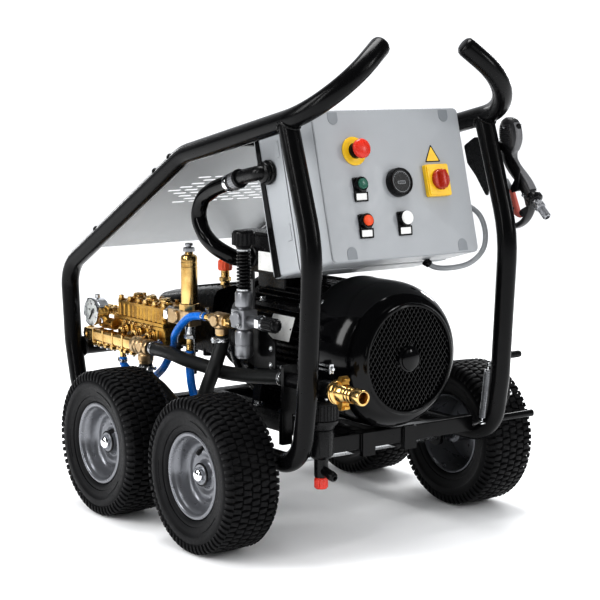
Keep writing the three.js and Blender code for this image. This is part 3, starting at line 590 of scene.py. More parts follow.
def side_frame(name, side):
    y = side * FRAME_Y
    loop = bent([(498, side * 106, 1048), (537, y, 929, 136), (9, y, 813, 150), (-520, y, 519, 80),
                 (-505, y, 338, 150), (-469.5, y, 198, 75), (436, y, 201, 75), (458, y, 335, 200),
                 (476.5, y, 647, 300), (JOINT.x + 3, y, JOINT.z - 9)])
    run = [(loop[0] - loop[1]).normalized() * -k for k in (0, 1.5, 5, 11)]
    loop = [loop[0] + step for step in run] + loop[1:]
    radii = [TUBE_R - 9, TUBE_R - 5, TUBE_R - 1.6, TUBE_R] + [TUBE_R] * (len(loop) - 4)
    form = Form()
    form.tube(loop, radii, FRAME_BLACK, 40)
    shift = Vector((0, y, 0))
    going = (JOINT - POST_FOOT).normalized()
    upper = (UPPER[1] - UPPER[0]).normalized()
    weld_bead(form, saddle(POST_FOOT + shift, going, UPPER[0] + shift, upper, TUBE_R), 3.6)
    for x in WHEEL_X.values():
        lug = rounded([(x - 22, 196), (x - 22, AXLE_Z - 20, 18), (x + 22, AXLE_Z - 20, 18), (x + 22, 196)], 2)
        hole = [(x + px, AXLE_Z + pz) for px, pz in circle(10.6, 32)]
        form.slab(upright(lug), y - 5, y + 5, FRAME_BLACK, "Y", holes=[upright(hole)])
        for face in (-5, 5):
            for end in (x - 22, x + 22):
                upright_weld(form, end, y + face, 160, 184, 2.2)
    form.piece(name, "frame", "frame_black", [name], bevel=0.8)


side_frame("side_frame_left", -1)
side_frame("side_frame_right", 1)


def cross_tube():
    form = Form()
    at = from_origin("pump_end_cross_tube")
    reach = high("pump_end_cross_tube").y
    form.rod(TUBE_R, -reach, reach, FRAME_BLACK, "Y", (at.x, 0, at.z), 48)
    for side in (-1, 1):
        seam = aim("Y", (at.x, side * (reach - 2), at.z))
        weld_bead(form, [seam @ Vector((x, y, 0)) for x, y in circle(TUBE_R + 0.6, 60)], 3.0)
    form.piece("pump_end_cross_tube", "frame", "frame_black", ["pump_end_cross_tube"])


cross_tube()


def beams():
    """The motor stands on two square tubes between two cross beams."""
    reach = FRAME_Y - TUBE_R - 0.5
    form = Form()
    angle = rounded([(372, 205, 1), (395, 205, 3), (395, 240, 3), (372, 240, 1)], 2)
    form.slab(upright(angle), -reach, reach, FRAME_BLACK, "Y")
    for side in (-1, 1):
        near, far = sorted(side * y for y in RAIL)
        form.block(390, 402, near, far, 190, 240, FRAME_BLACK)
        for face in (near, far):
            upright_weld(form, 396.5, face, 206, 240, 1.6)
        weld_bead(form, [Vector((396, y, 240.4)) for y in range(near, far, 3)], 1.4, False)
        upright_weld(form, 384, side * (reach - 1.5), 206, 240, 2.4)
    form.piece("cross_beam_operator_end", "frame", "frame_black", ["cross_beam_operator_end"], bevel=1.2)
    form = Form()
    form.slab(upright(rounded_box(-215, -175, 200, 240, 4)), -reach, reach, FRAME_BLACK, "Y")
    for side in (-1, 1):
        for x in (-214, -176):
            upright_weld(form, x, side * (reach - 1.5), 202, 240, 2.4)
    form.piece("cross_beam_pump_end", "frame", "frame_black", ["cross_beam_pump_end"], bevel=1.0)
    for name, side in (("left", -1), ("right", 1)):
        near, far = sorted(side * y for y in RAIL)
        form = Form()
        form.slab(endwise(rounded_box(near, far, 190, 240, 4)), -174.5, 371.6, FRAME_BLACK, "X")
        if side < 0:
            form.rod(13, -98, -70, FRAME_BLACK, "Y", (-78, 0, 212))
            form.ring(13.4, 1.6, FRAME_BLACK, "Y", (-78, -75, 212), 40)
        form.piece(f"motor_rail_{name}", "frame", "frame_black", [f"motor_rail_{name}"], bevel=0.8)


beams()


# ---- top cover: slotted sheet, folded where the upper tubes change slope -----------------------
COVER = {"half": 243.0, "lift": 17.0, "thick": 1.2}
COVER_LINE = [(-466, 549), (9, 813), (140, 841)]
SLOTS = {"rows": 9, "pitch": 16.5, "length": 36.0, "width": 9.0, "gap": 10.0, "from_fold": 165.0,
         "half_field": 213.0, "taper": 18.0}


def slot_field():
    """Rows of slots whose lengths make a six-sided field, half a slot apart from row to row."""
    holes = []
    step = SLOTS["length"] + SLOTS["gap"]
    for row in range(SLOTS["rows"]):
        u = SLOTS["from_fold"] + row * SLOTS["pitch"]
        reach = SLOTS["half_field"] - abs(row - (SLOTS["rows"] - 1) / 2) * SLOTS["taper"]
        count = int(2 * reach / step)
        count -= (count + row) % 2
        w, half = SLOTS["width"] / 2, SLOTS["length"] / 2
        for i in range(count):
            v = (i - (count - 1) / 2) * step
            holes.append(rounded_box(u - w, u + w, v - half, v + half, w, 3))
    return holes


def top_cover():
    half, thick = COVER["half"], COVER["thick"]
    ends = [Vector((x, 0, z + COVER["lift"] + thick / 2)) for x, z in COVER_LINE]
    form = Form()
    for end, holes, corner in ((ends[0], slot_field(), 14), (ends[2], [], 0.5)):
        run = end - ends[1]
        along = run.normalized()
        up = along.cross(AXIS["Y"])
        place = Matrix.Translation(ends[1]) @ Matrix((along, AXIS["Y"], up)).transposed().to_4x4()
        outline = rounded([(0, -half, 0.1), (run.length, -half, corner), (run.length, half, corner),
                           (0, half, 0.1)], 1)
        form.slab(outline, -thick / 2, thick / 2, SHEET, place, holes=holes)
    form.piece("top_cover", "frame", "sheet_grey", ["top_cover"])


def cover_screws():
    """Button-head screws on the outer sides of both upper tubes, which hold the cover."""
    form = Form()
    slope = (Vector((9, 0, 813)) - Vector((-466, 0, 549))).normalized()
    normal = Vector((-slope.z, 0, slope.x))
    for side in (-1, 1):
        out = (normal + AXIS["Y"] * side * 0.7).normalized()
        for distance in (41, 112, 420):
            at = Vector((9, side * FRAME_Y, 813)) - slope * distance + out * (TUBE_R - 0.4)
            form.bolt(at, out, 7.0, BLACK_PLASTIC, "button")
    form.piece("cover_screws", "frame", "black_plastic")


top_cover()
cover_screws()


# ---- wheels ------------------------------------------------------------------------------------
TYRE_R = 165.0
TREAD_ROWS = 68                       # rows of blocks round a tyre
GROOVE = 5.0                          # depth between the blocks
TREAD_COLUMNS = (-42, -21, 0, 21, 42)
WHEEL_Y = 350.0                       # from the machine's mid-plane to the middle of a wheel
AXLE_HALF = 374.0
VALVE_TURN = {"rim_operator_left": 74, "rim_pump_left": 38, "rim_operator_right": 110, "rim_pump_right": 150}


def crown(y):
    """Outer radius of the blocks at a distance from the tyre's mid-plane."""
    return TYRE_R - 0.0011 * y * y - (0.10 * max(0.0, abs(y) - 44)) ** 2


def block_on_tyre(form, turn, y, length, width, skew, wheel):
    """One tread block: its base sits under the groove floor, its top is slightly smaller."""
    rings = []
    for inset, lift in ((-1.4, -GROOVE - 2), (0.0, -1.3), (0.5, -0.35), (1.3, 0.0)):
        ring = []
        for along, across in ((-1, -1), (1, -1), (1, 1), (-1, 1)):
            py = y + across * (length / 2 - inset)
            px = along * (width / 2 - inset) + skew * across
            radius = crown(py) + lift
            angle = turn + px / TYRE_R
            ring.append(wheel @ Vector((radius * math.cos(angle), radius * math.sin(angle), py)))
        rings.append(ring)
    form.capped(rings, TREAD)


def shoulder_lug(form, turn, side, wheel):
    """A rib that runs from the tread's edge down the shoulder."""
    path = ((53, 163.5), (58.5, 160), (61.8, 152.5), (62.2, 143))
    rings = []
    for k, (y, radius) in enumerate(path):
        half = 4.6 - 0.5 * k
        depth = 4.0 if k < 3 else 0.8
        ring = []
        for along, inner in ((-1, 0), (1, 0), (1, 1), (-1, 1)):
            angle = turn + along * (half + inner * 0.8) / TYRE_R
            r = radius - inner * depth
            w = side * (y - inner * depth * 0.7)
            ring.append(wheel @ Vector((r * math.cos(angle), r * math.sin(angle), w)))
        rings.append(ring)
    form.capped(rings, TREAD)


def tyre(name, body, node, side):
    """A moulded tyre: its carcass, five rows of tread blocks, shoulder ribs and a band of raised marks."""
    centre = middle(node)
    wheel = aim("Y")
    form = Form(origin=centre)
    half = [(159.3, 0), (158.9, 20), (157.3, 40), (155.4, 50), (151.5, 56), (146, 59.4), (141.5, 60.6),
            (140.6, 60.9), (139.8, 61.6), (134, 62.2), (127, 61.6), (126, 61.2), (125, 60.2), (116, 58.6),
            (108, 56.8), (106.6, 56.3), (106, 54.6), (101, 54.2), (97, 52.8), (93.6, 50.4), (92.6, 48.6),
            (92.6, 40), (100, 43), (140, 48), (150, 40), (151, 0)]
    outside, inside = half[1:21], half[21:-1]
    profile = [(r, -w) for r, w in reversed(outside)] + half + [(r, -w) for r, w in reversed(inside)]
    form.lathe(profile, TYRE, wheel, sides=120, loop=True)
    for row in range(TREAD_ROWS):
        turn = 2 * math.pi * row / TREAD_ROWS
        half_row = math.pi / TREAD_ROWS
        for k, y in enumerate(TREAD_COLUMNS):
            shift = half_row if k % 2 else 0.0
            skew = (1.5, -1.5)[k % 2] if row % 2 else (-1.5, 1.5)[k % 2]
            block_on_tyre(form, turn + shift, y, 18.4, 10.6, skew, wheel)
        for edge in (-1, 1):
            shoulder_lug(form, turn + half_row * (1 if edge > 0 else 0.4), edge, wheel)
    face = side * 58.9
    for turn in (0.6, 2.7, 4.8):
        arc = [(118.5 * math.cos(turn + k * 0.05), 118.5 * math.sin(turn + k * 0.05)) for k in range(12)]
        band = [wheel @ Vector((x, y, face)) for x, y in arc]
        form.tube(band, 1.1, TYRE, 8)
    form.piece(name, body, "tyre_rubber", [node], crease=38)


def rim(name, body, node, side):
    """Pressed steel rim, with its rolled lip, well, stepped dish and hub, and the tyre's valve."""
    centre = middle(node)
    centre.y = math.copysign(WHEEL_Y, centre.y)
    form = Form(origin=centre)
    wheel = aim("Y" if side > 0 else "-Y")
    profile = [(11, 30), (21, 30), (23.5, 27.5), (24.4, 20), (27, 15.4), (33, 13.6), (37, 14.6), (41, 17.2),
               (46, 18), (52, 17.4), (56.5, 14.6), (61, 13.6), (65.5, 15.6), (69.5, 21), (72, 30),
               (74.5, 37.5), (78.4, 42), (80.6, 44.2), (81.6, 48.4), (83.6, 51.2), (87.6, 52.2),
               (90.9, 50.6), (91.2, 47.2), (89.6, 45.8), (88.8, 42), (86.6, 30), (85.6, 12), (85.6, -30),
               (89.0, -42), (90.8, -47), (90.9, -50), (88.4, -51.4), (86.2, -49.4), (85.4, -44),
               (82.2, -36), (81.8, -10), (80.8, 12), (76.4, 22), (70, 14), (60, 9), (40, 12.5), (30, 9.5),
               (22, 7), (22, -36), (20.8, -37), (11, -37)]
    form.lathe(profile, RIM_SILVER, wheel, sides=96, loop=True)
    along = wheel.to_3x3() @ AXIS["Z"]
    for x, y in circle(47.5, 4, math.radians(20)):
        form.lathe([(0, 0), (6.5, 0), (6.2, 0.7), (4.8, 1.5), (2.0, 1.9), (0, 1.9)], RIM_SILVER, along,
                   wheel @ Vector((x, y, 17.4)), 24)
    form.piece(name, body, "rim_silver", [node], crease=45)
    form = Form(origin=centre)
    turn = math.radians(VALVE_TURN[name])
    base = wheel @ Vector((73 * math.cos(turn), 73 * math.sin(turn), 27))
    out = (wheel.to_3x3() @ Vector((-math.cos(turn) * 0.8, -math.sin(turn) * 0.8, 0.62))).normalized()
    form.lathe([(0, -3), (7.8, -3), (7.8, 0), (6.2, 3.2), (4.4, 5), (4.2, 19), (4.9, 20), (4.9, 29),
                (4.0, 30.4), (0, 30.4)], BLACK_PLASTIC, out, base, 28)
    for k in range(10):
        form.ring(4.9, 0.35, BLACK_PLASTIC, out, base + out * (20.8 + k * 0.8), 28, 6)
    form.lathe([(22, 26), (24.6, 26), (24.6, 28.4), (22, 29.5)], BLACK_PLASTIC, wheel, sides=48, loop=True)
    form.piece(f"valve_{name}", body, "black_plastic")


def wheels():
    for end in ("pump", "operator"):
        for name, side in (("left", -1), ("right", 1)):
            body = f"wheel_{end}_{name}"
            tyre(f"tyre_{end}_{name}", body, f"tyre_{end}_{name}", side)
            rim(f"rim_{end}_{name}", body, f"rim_{end}_{name}", side)
        form = Form()
        at = (WHEEL_X[end], 0, AXLE_Z)
        form.rod(10, -AXLE_HALF, AXLE_HALF, STEEL, "Y", at, 32)
        for axis in ("-Y", "Y"):
            form.lathe([(0, 374.5), (18.6, 374.5), (19, 376), (18.6, 378), (16.4, 379), (16.2, 382),
                        (15.2, 386.5), (12.4, 390), (7.6, 392.2), (3.2, 392.9), (0, 393)], CHROME, axis,
                       at, 48)
            form.rod(17, 315, 316.6, STEEL, axis, at, 32)
            form.rod(13, 267, 315, STEEL, axis, at, 32)
        form.piece(f"axle_{end}_end", "frame", "chrome", [f"axle_{end}_end"], bevel=0.3)


wheels()


# ---- control box, in its own frame: +X leaves the panel, Z climbs it from the lower edge -------
BOX = {"width": 392.0, "height": 314.0, "lid": 115.0, "body": 97.0, "corner": 12.0}
BOX_TILT = math.radians(14.5)
BOX_FOOT = Vector((high("control_box_lid").x, middle("control_box_lid").y,
                   low("control_box_lid").z + BOX["lid"] * math.sin(BOX_TILT)))
BOX_TURN = Matrix.Rotation(-BOX_TILT, 4, "Y")
ROW = {"top": 227.0, "middle": 157.0, "low": 81.0}
COLUMN = {"left": -102.0, "centre": 0.0, "right": 104.0}


def on_box():
    return Form(origin=BOX_FOOT, turn=BOX_TURN)


def rectangle(width, height, radius, y=0.0, z=0.0, steps=6):
    w, h = width / 2, height / 2
    return rounded_box(y - w, y + w, z - h, z + h, radius, steps)


def box_shell(form, x0, x1, look, inset=0.0, soft_front=0.0):
    """A rounded box slab; its front edge may be rounded through a quarter circle."""
    levels = [(x0, inset)]
    steps = 6
    if soft_front:
        for k in range(steps + 1):
            turn = math.pi / 2 * k / steps
            levels.append((x1 - soft_front * (1 - math.sin(turn)), inset + soft_front * (1 - math.cos(turn))))
    else:
        levels.append((x1, inset))
    rings = []
    for x, step_in in levels:
        outline = rectangle(BOX["width"] - 2 * step_in, BOX["height"] - 2 * step_in,
                            max(2.0, BOX["corner"] - step_in / 2), 0, BOX["height"] / 2)
        rings.append([Vector((x, p[0], p[1])) for p in outline])
    centre = [Vector((x, 0, BOX["height"] / 2)) for x in (x0, x1)]
    form.skin([[centre[0]], *rings, [centre[1]]], look)


def control_box():
    lid, body = BOX["lid"], BOX["body"]
    form = on_box()
    box_shell(form, -lid + 1.2, -3.4, BOX_GREY, 0, 1.2)
    box_shell(form, -4.5, -1.8, BOX_GREY, 3.2)
    box_shell(form, -2.2, 0, BOX_GREY, 1.4, 1.6)
    box_shell(form, -lid + 1.2, -lid + 9, BOX_GREY, -1.2)
    form.piece("control_box_lid", "frame", "box_grey", ["control_box_lid"], bevel=0.8, crease=40)
    form = on_box()
    box_shell(form, -lid - body, -lid - 1.5, BOX_GREY, 0)
    box_shell(form, -lid - 9, -lid - 1.5, BOX_GREY, -1.2)
    for y in (-BOX["width"] / 2, BOX["width"] / 2):
        side = math.copysign(1, y)
        for z in (70, 245):
            form.block(-lid - 26, -lid - 10, *sorted((y, y + side * 1.8)), z, z + 34, BOX_GREY, 2)
    form.piece("control_box_body", "frame", "box_grey", ["control_box_body"], bevel=1.6, crease=40)
    form = on_box()
    box_shell(form, -lid - 1.6, -lid + 1.3, BLACK_PLASTIC, 1.6)
    form.piece("control_box_gasket", "frame", "black_plastic")


def screw_covers():
    """Half-round caps over the lid screws, one at each corner, open towards the nearest edge."""
    form = on_box()
    for y, z, up in ((-143, 296, 1), (153, 296, 1), (-145, 18, -1), (152, 18, -1)):
        arc = [(y + 12.5 * math.cos(a), z - up * 12.5 * math.sin(a))
               for a in (math.pi * k / 16 for k in range(17))]
        edge = BOX["height"] - 5.0 if up > 0 else 5.0
        outline = [(y + 12.5, edge), *arc, (y - 12.5, edge)]
        form.slab(outline, -1.0, 0.7, COVER_GREY, YZ)
    form.piece("lid_screw_covers", "frame", "box_grey", bevel=0.35)


def box_bracket():
    """Plate behind the box with a folded rim, a strap on each side of it and an arm to each upper tube."""
    back = -BOX["lid"] - BOX["body"]
    form = on_box()
    form.slab(rectangle(370, 288, 8, 0, 156), back - 14, back - 10, FRAME_BLACK, YZ)
    for y in (-181, 181):
        form.block(back - 14, back - 0.5, y - 4, y + 4, 14, 298, FRAME_BLACK)
    form.block(back - 22, back - 10, -245, -150, 290, 300, FRAME_BLACK, 3)
    form.block(back - 34, back - 10, 150, 233, 270, 300, FRAME_BLACK, 3)
    for y in (-165, -60, 60, 165):
        for z in (30, 285):
            form.bolt((back - 14, y, z), "-X", 8, STEEL)
    form.piece("control_box_bracket", "frame", "frame_black", ["control_box_bracket"], bevel=0.8)
    form = on_box()
    edge = BOX["width"] / 2
    strap = [(-206, 2), (-186, 2), (-194, BOX["height"] - 2), (-206, BOX["height"] - 2)]
    for y in (-edge - 2.6, edge + 0.4):
        form.slab(upright(strap), y, y + 2.2, FRAME_BLACK, "Y")
    form.piece("control_box_straps", "frame", "frame_black", bevel=0.5)


def label_holder(form, y, z):
    """A black clip frame under a button, leaning out at its foot, its white card blank."""
    lean = Matrix.Translation((2.2, y, z)) @ Matrix.Rotation(math.radians(9), 4, "Y") @ YZ
    form.slab(rectangle(33, 20, 1.6), -2.4, 3.2, BLACK_PLASTIC, lean, holes=[rectangle(28, 14, 0.8)])
    form.slab(rectangle(28.6, 14.6, 0.8), -2.2, 2.2, WHITE, lean)


def panel_controls():
    left, centre = COLUMN["left"], COLUMN["centre"]
    form = on_box()
    for y, z in ((left, ROW["middle"]), (left, ROW["low"]), (centre, ROW["low"])):
        form.slab(rectangle(30.5, 30.5, 3.5, y, z), -0.5, 4.4, BLACK_PLASTIC, YZ,
                  holes=[[(y + a, z + b) for a, b in circle(11.9, 40)]])
        form.lathe([(11.9, -0.5), (15.2, -0.5), (15.2, 11.2), (14.6, 13.6), (13.2, 14.6), (12.2, 14.2),
                    (11.9, 13)], BLACK_PLASTIC, "X", (0, y, z), 56, loop=True)
        label_holder(form, y, z - 25)
    form.piece("button_bezels_and_labels", "frame", "black_plastic", bevel=0.3)
    for name, look, slot, z in (("start_button", GREEN, "green_plastic", ROW["middle"]),
                                ("stop_button", ORANGE_RED, "red_plastic", ROW["low"])):
        form = on_box()
        form.lathe([(0, 5), (11.3, 5), (11.3, 16.4), (10.7, 17.7), (9.4, 18.1), (8.6, 17.7), (0, 17.3)],
                   look, "X", (0, left, z), 48)
        form.piece(name, name, slot, [name])
    form = on_box()
    lens = dome(14.4, 16, 8.0, (0.12, 0.35, 0.6, 0.85, 1.1, 1.35))
    form.lathe([(0, 1), (11.2, 1), (11.2, 14.8), (14.2, 15.2), *lens, (0, 24)], WHITE, "X",
               (0, centre, ROW["low"]), 48)
    form.piece("pilot_lamp", "frame", "white_plastic", ["pilot_lamp"])


def emergency_stop():
    at = (0, COLUMN["left"], ROW["top"])
    form = on_box()
    form.lathe([(11.8, 0.2), (29.4, 0.2), (30, 0.9), (29.9, 2.2), (28.6, 3.2), (19.5, 4.1), (17.4, 4.4),
                (17.2, 6), (11.8, 6)], YELLOW, "X", at, 72, loop=True)
    form.piece("emergency_stop_collar", "frame", "yellow_plastic", ["emergency_stop_collar"])
    form = on_box()
    form.lathe([(11.8, 5.2), (16.4, 5.2), (16.4, 9), (15.6, 13.6), (14.2, 14), (11.8, 14)], BLACK_PLASTIC,
               "X", at, 56, loop=True)
    form.piece("emergency_stop_neck", "frame", "black_plastic")
    form = on_box()
    top = dome(20.2, 30.5, 7.5, (0.0, 0.3, 0.6, 0.9, 1.2, 1.45))
    form.lathe([(0, 7), (10.8, 7), (10.8, 18), (12.2, 19.6), (17.6, 21.6), (19.8, 24), *top, (0, 38)],
               RED, "X", at, 64)
    form.piece("emergency_stop_button", "emergency_stop_button", "red_plastic", ["emergency_stop_button"])


def hour_meter():
    at = Vector((0, COLUMN["centre"], ROW["middle"]))
    form = on_box()
    form.lathe([(0, 0.2), (30.2, 0.2), (30.6, 1.2), (30.0, 12.6), (28.8, 15.8), (27, 16.6), (25.6, 16),
                (25, 14.4), (0, 14.4)], BLACK_PLASTIC, "X", at, 72)
    form.piece("hour_meter", "frame", "black_plastic", ["hour_meter"])
    form = on_box()
    form.ring(21.6, 0.4, SOFT_GREY, "X", at + Vector((14.5, 0, 0)), 72, 8)
    for k in range(-4, 5):
        turn = math.radians(90 + k * 14)
        start, end = [at + Vector((14.5, r * math.cos(turn), r * math.sin(turn))) for r in (18.4, 21)]
        form.tube([start, end], 0.35, SOFT_GREY, 6)
    form.slab(rectangle(20, 6.4, 1.2, at.y, at.z - 1.5), 14.2, 15, SOFT_GREY, YZ,
              holes=[rectangle(18.6, 5.0, 0.8, at.y, at.z - 1.5)])
    for k in range(-3, 4):
        form.slab(rectangle(0.4, 5.2, 0.1, at.y + k * 2.7, at.z - 1.5, 1), 14.2, 14.8, SOFT_GREY, YZ)
    form.piece("hour_meter_marks", "frame", "white_plastic")


def main_switch():
    y, z = COLUMN["right"], ROW["middle"]
    form = on_box()
    form.slab(rectangle(62, 68, 5, y, z), 0.2, 10.6, YELLOW, YZ)
    form.slab(rectangle(57, 63, 5, y, z), 10.4, 13.0, YELLOW, YZ)
    form.lathe([(0, 12.8), (24.6, 12.8), (24.6, 14), (23.4, 14.8), (0, 14.8)], YELLOW, "X", (0, y, z), 64)
    for dy in (-23, 23):
        for dz in (-23, 23):
            form.lathe([(0, 12.8), (2.6, 12.8), (2.4, 13.7), (0, 13.9)], YELLOW, "X", (0, y + dy, z + dz), 20)
    form.piece("main_switch_plate", "frame", "yellow_plastic", ["main_switch_plate"], bevel=1.3)
    form = on_box()
    form.lathe([(0, 15.1), (21.2, 15.1), (21.6, 16), (20.8, 22.4), (19.4, 24), (0, 24)], DEEP_RED, "X",
               (0, y, z), 64)
    grip = []
    for x, width, height in ((18, 17, 40), (26, 15.4, 39), (32, 13.6, 37.4), (33.6, 12.2, 36),
                             (34, 10.4, 34)):
        grip.append([Vector((x, p[0], p[1])) for p in rectangle(width, height, 5, y, z, 5)])
    form.skin([[Vector((18, y, z))], *grip, [Vector((34, y, z))]], DEEP_RED)
    for dy, dz in circle(21.0, 16, math.pi / 16):
        form.tube([Vector((x, y + dy, z + dz)) for x in (16.4, 22)], 1.3, DEEP_RED, 8)
    form.piece("main_switch_knob", "main_switch_knob", "red_plastic", ["main_switch_knob"], bevel=0.4)


def warning_triangle():
    """A plain yellow triangle with a dark border, carrying no sign."""
    form = on_box()
    apex, base, half, y = 236.0, 197.5, 21.5, COLUMN["right"] + 1
    outline = rounded([(y - half, base), (y + half, base), (y, apex)], 2.4)
    inner = rounded([(y - half + 4.2, base + 2.4), (y + half - 4.2, base + 2.4), (y, apex - 5.0)], 1.6)
    form.slab(outline, -0.2, 0.35, BLACK_PLASTIC, YZ)
    form.slab(inner, -0.1, 0.5, YELLOW, YZ)
    form.piece("blank_triangle_plate", "frame", "yellow_plastic")


def loose_end_loop():
    """The grey control cable that loops from the side of the box to its underside."""
    form = on_box()
    path = flowing([(-86, 197, 112), (-66, 208, 112), (-40, 222, 104), (-22, 233, 80), (-15, 235, 42),
                    (-18, 224, 6), (-30, 194, -19), (-48, 156, -25), (-68, 122, -18), (-76, 106, -2)], 8)
    form.tube(path, 5.6, SOFT_GREY, 20)
    for at, along in ((path[0], path[3] - path[0]), (path[-1], path[-4] - path[-1])):
        form.rod(10, -1, 7, BLACK_PLASTIC, along, at, 6, 1.5)
        form.lathe([(5.7, 7), (8.8, 7), (8.2, 13), (5.9, 15)], BLACK_PLASTIC, along, at, 28, loop=True)
    form.piece("control_cable", "frame", "black_hose")


control_box()
screw_covers()
box_bracket()
panel_controls()
emergency_stop()
hour_meter()
main_switch()
warning_triangle()
loose_end_loop()


# ---- electric motor ----------------------------------------------------------------------------
MOTOR_Z = middle("rotor_shaft_and_fan").z
MOTOR = {"back": 30.0, "front": 290.0, "root": 135.0, "fin": 150.0, "shield": 144.0}
FIN_COUNT = 64
FIN_GAPS = [(math.radians(66), math.radians(122)), (math.radians(228), math.radians(312)),
            (math.radians(-32), math.radians(-14)), (math.radians(194), math.radians(212))]


def fins():
    """Ring of thin cooling fins, left out over the feet and under the terminal box."""
    points = []
    pitch = 2 * math.pi / FIN_COUNT
    for i in range(FIN_COUNT):
        turn = i * pitch
        bare = any(a <= turn <= b or a <= turn - 2 * math.pi <= b for a, b in FIN_GAPS)
        outer = MOTOR["root"] + 1.5 if bare else MOTOR["fin"]
        for radius, share in ((MOTOR["root"], -0.24), (outer - 1, -0.13), (outer, -0.07),
                              (outer, 0.07), (outer - 1, 0.13), (MOTOR["root"], 0.24)):
            angle = turn + share * pitch
            points.append((radius * math.cos(angle), radius * math.sin(angle)))
    return points


def motor():
    """Finned body with end shields, feet and terminal seat, its blank plate, and the rotor with its fan."""
    form = Form()
    at = (0, 0, MOTOR_Z)
    form.slab(endwise(fins()), MOTOR["back"] + 24, MOTOR["front"] - 16, CAST_BLACK, "X", at)
    bore = 24.0
    for x0, x1, sign in ((MOTOR["back"], MOTOR["back"] + 27, 1), (MOTOR["front"] - 20, MOTOR["front"], -1)):
        edge = MOTOR["shield"]
        form.lathe([(bore, x0), (edge - 3, x0), (edge, x0 + 3), (edge, x1 - 3), (edge - 3, x1), (bore, x1)],
                   CAST_BLACK, "X", at, 96, loop=True)
        if sign < 0:
            baffle = [(edge - 4, x1 - 3), (155.6, x1 - 3), (155.6, x1 + 0.6), (edge - 4, x1 + 0.6)]
            form.lathe(baffle, MATT_BLACK, "X", at, 96, loop=True)
        for y, z in circle(138, 8, math.pi / 8):
            form.rod(9, -9, 9, CAST_BLACK, "X", (x1 if sign > 0 else x0, y, MOTOR_Z + z), 24)
    for side in (-1, 1):
        near, far = sorted((side * 38, side * 130))
        form.block(60, 260, near, far, 240.4, 256, CAST_BLACK, 8)
        for x0 in (66, 222):
            rib = [(side * 66, 252), (side * 126, 252), (side * 118, 300), (side * 108, 318),
                   (side * 66, 300)]
            form.slab(endwise(rib), x0, x0 + 28, CAST_BLACK, "X")
        for x in (84, 236):
            form.bolt((x, side * 118, 256), "Z", 12, STEEL)
    form.block(34, 140, -86, 32, 514, 551, CAST_BLACK, 6)
    form.slab(endwise(rounded_box(-149.5, -98, 487, 497, 2)), 118, 286, CAST_BLACK, "X")
    for x in (130, 274):
        form.bolt((x, -138, 497), "Z", 8, STEEL, "socket")
    form.piece("motor_body", "frame", "cast_black", ["motor_body"], bevel=0.5)
    form = Form()
    turn = math.radians(180 - 18)
    out = Vector((0, math.cos(turn), math.sin(turn)))
    up = Vector((0, math.sin(turn), -math.cos(turn))) * -1
    place = Matrix((AXIS["X"], up, out)).transposed().to_4x4()
    place.translation = Vector((205, 0, MOTOR_Z)) + out * 150.2
    form.slab(rectangle(84, 58, 3), -14, 1.0, CAST_BLACK, place)
    form.slab(rectangle(80, 54, 2.5), 0.9, 1.8, WHITE, place)
    for x in (-36, 36):
        spot = place @ Vector((x, 0, 1.8))
        form.lathe([(0, 0), (2.4, 0), (2.0, 1.0), (0, 1.3)], STEEL, out, spot, 20)
    form.piece("blank_motor_plate", "frame", "steel", bevel=0.3)
    form = Form()
    form.rod(14, -190, -96, STEEL, "X", at, 40)
    form.rod(35, -88, 14, STEEL, "X", at, 56, 2)
    form.rod(20.8, 14, 300, STEEL, "X", at, 40)
    form.lathe([(20, 298), (118, 300), (118, 303), (34, 307), (30, 330), (20, 330)], MATT_BLACK, "X", at, 72,
               loop=True)
    for k in range(7):
        turn = 2 * math.pi * k / 7
        spin = Matrix.Translation(at) @ Matrix.Rotation(turn, 4, "X")
        blade = [spin @ Vector(p) for p in ((302, -1.6, 26), (302, 1.6, 26), (302, 1.6, 114),
                                            (302, -1.6, 114))]
        tip = [spin @ Vector(p) for p in ((334, -1.2, 28), (334, 1.2, 28), (340, 1.2, 112), (340, -1.2, 112))]
        form.capped([blade, tip], MATT_BLACK)
    form.piece("rotor_shaft_and_fan", "rotor", "steel", ["rotor_shaft_and_fan"])


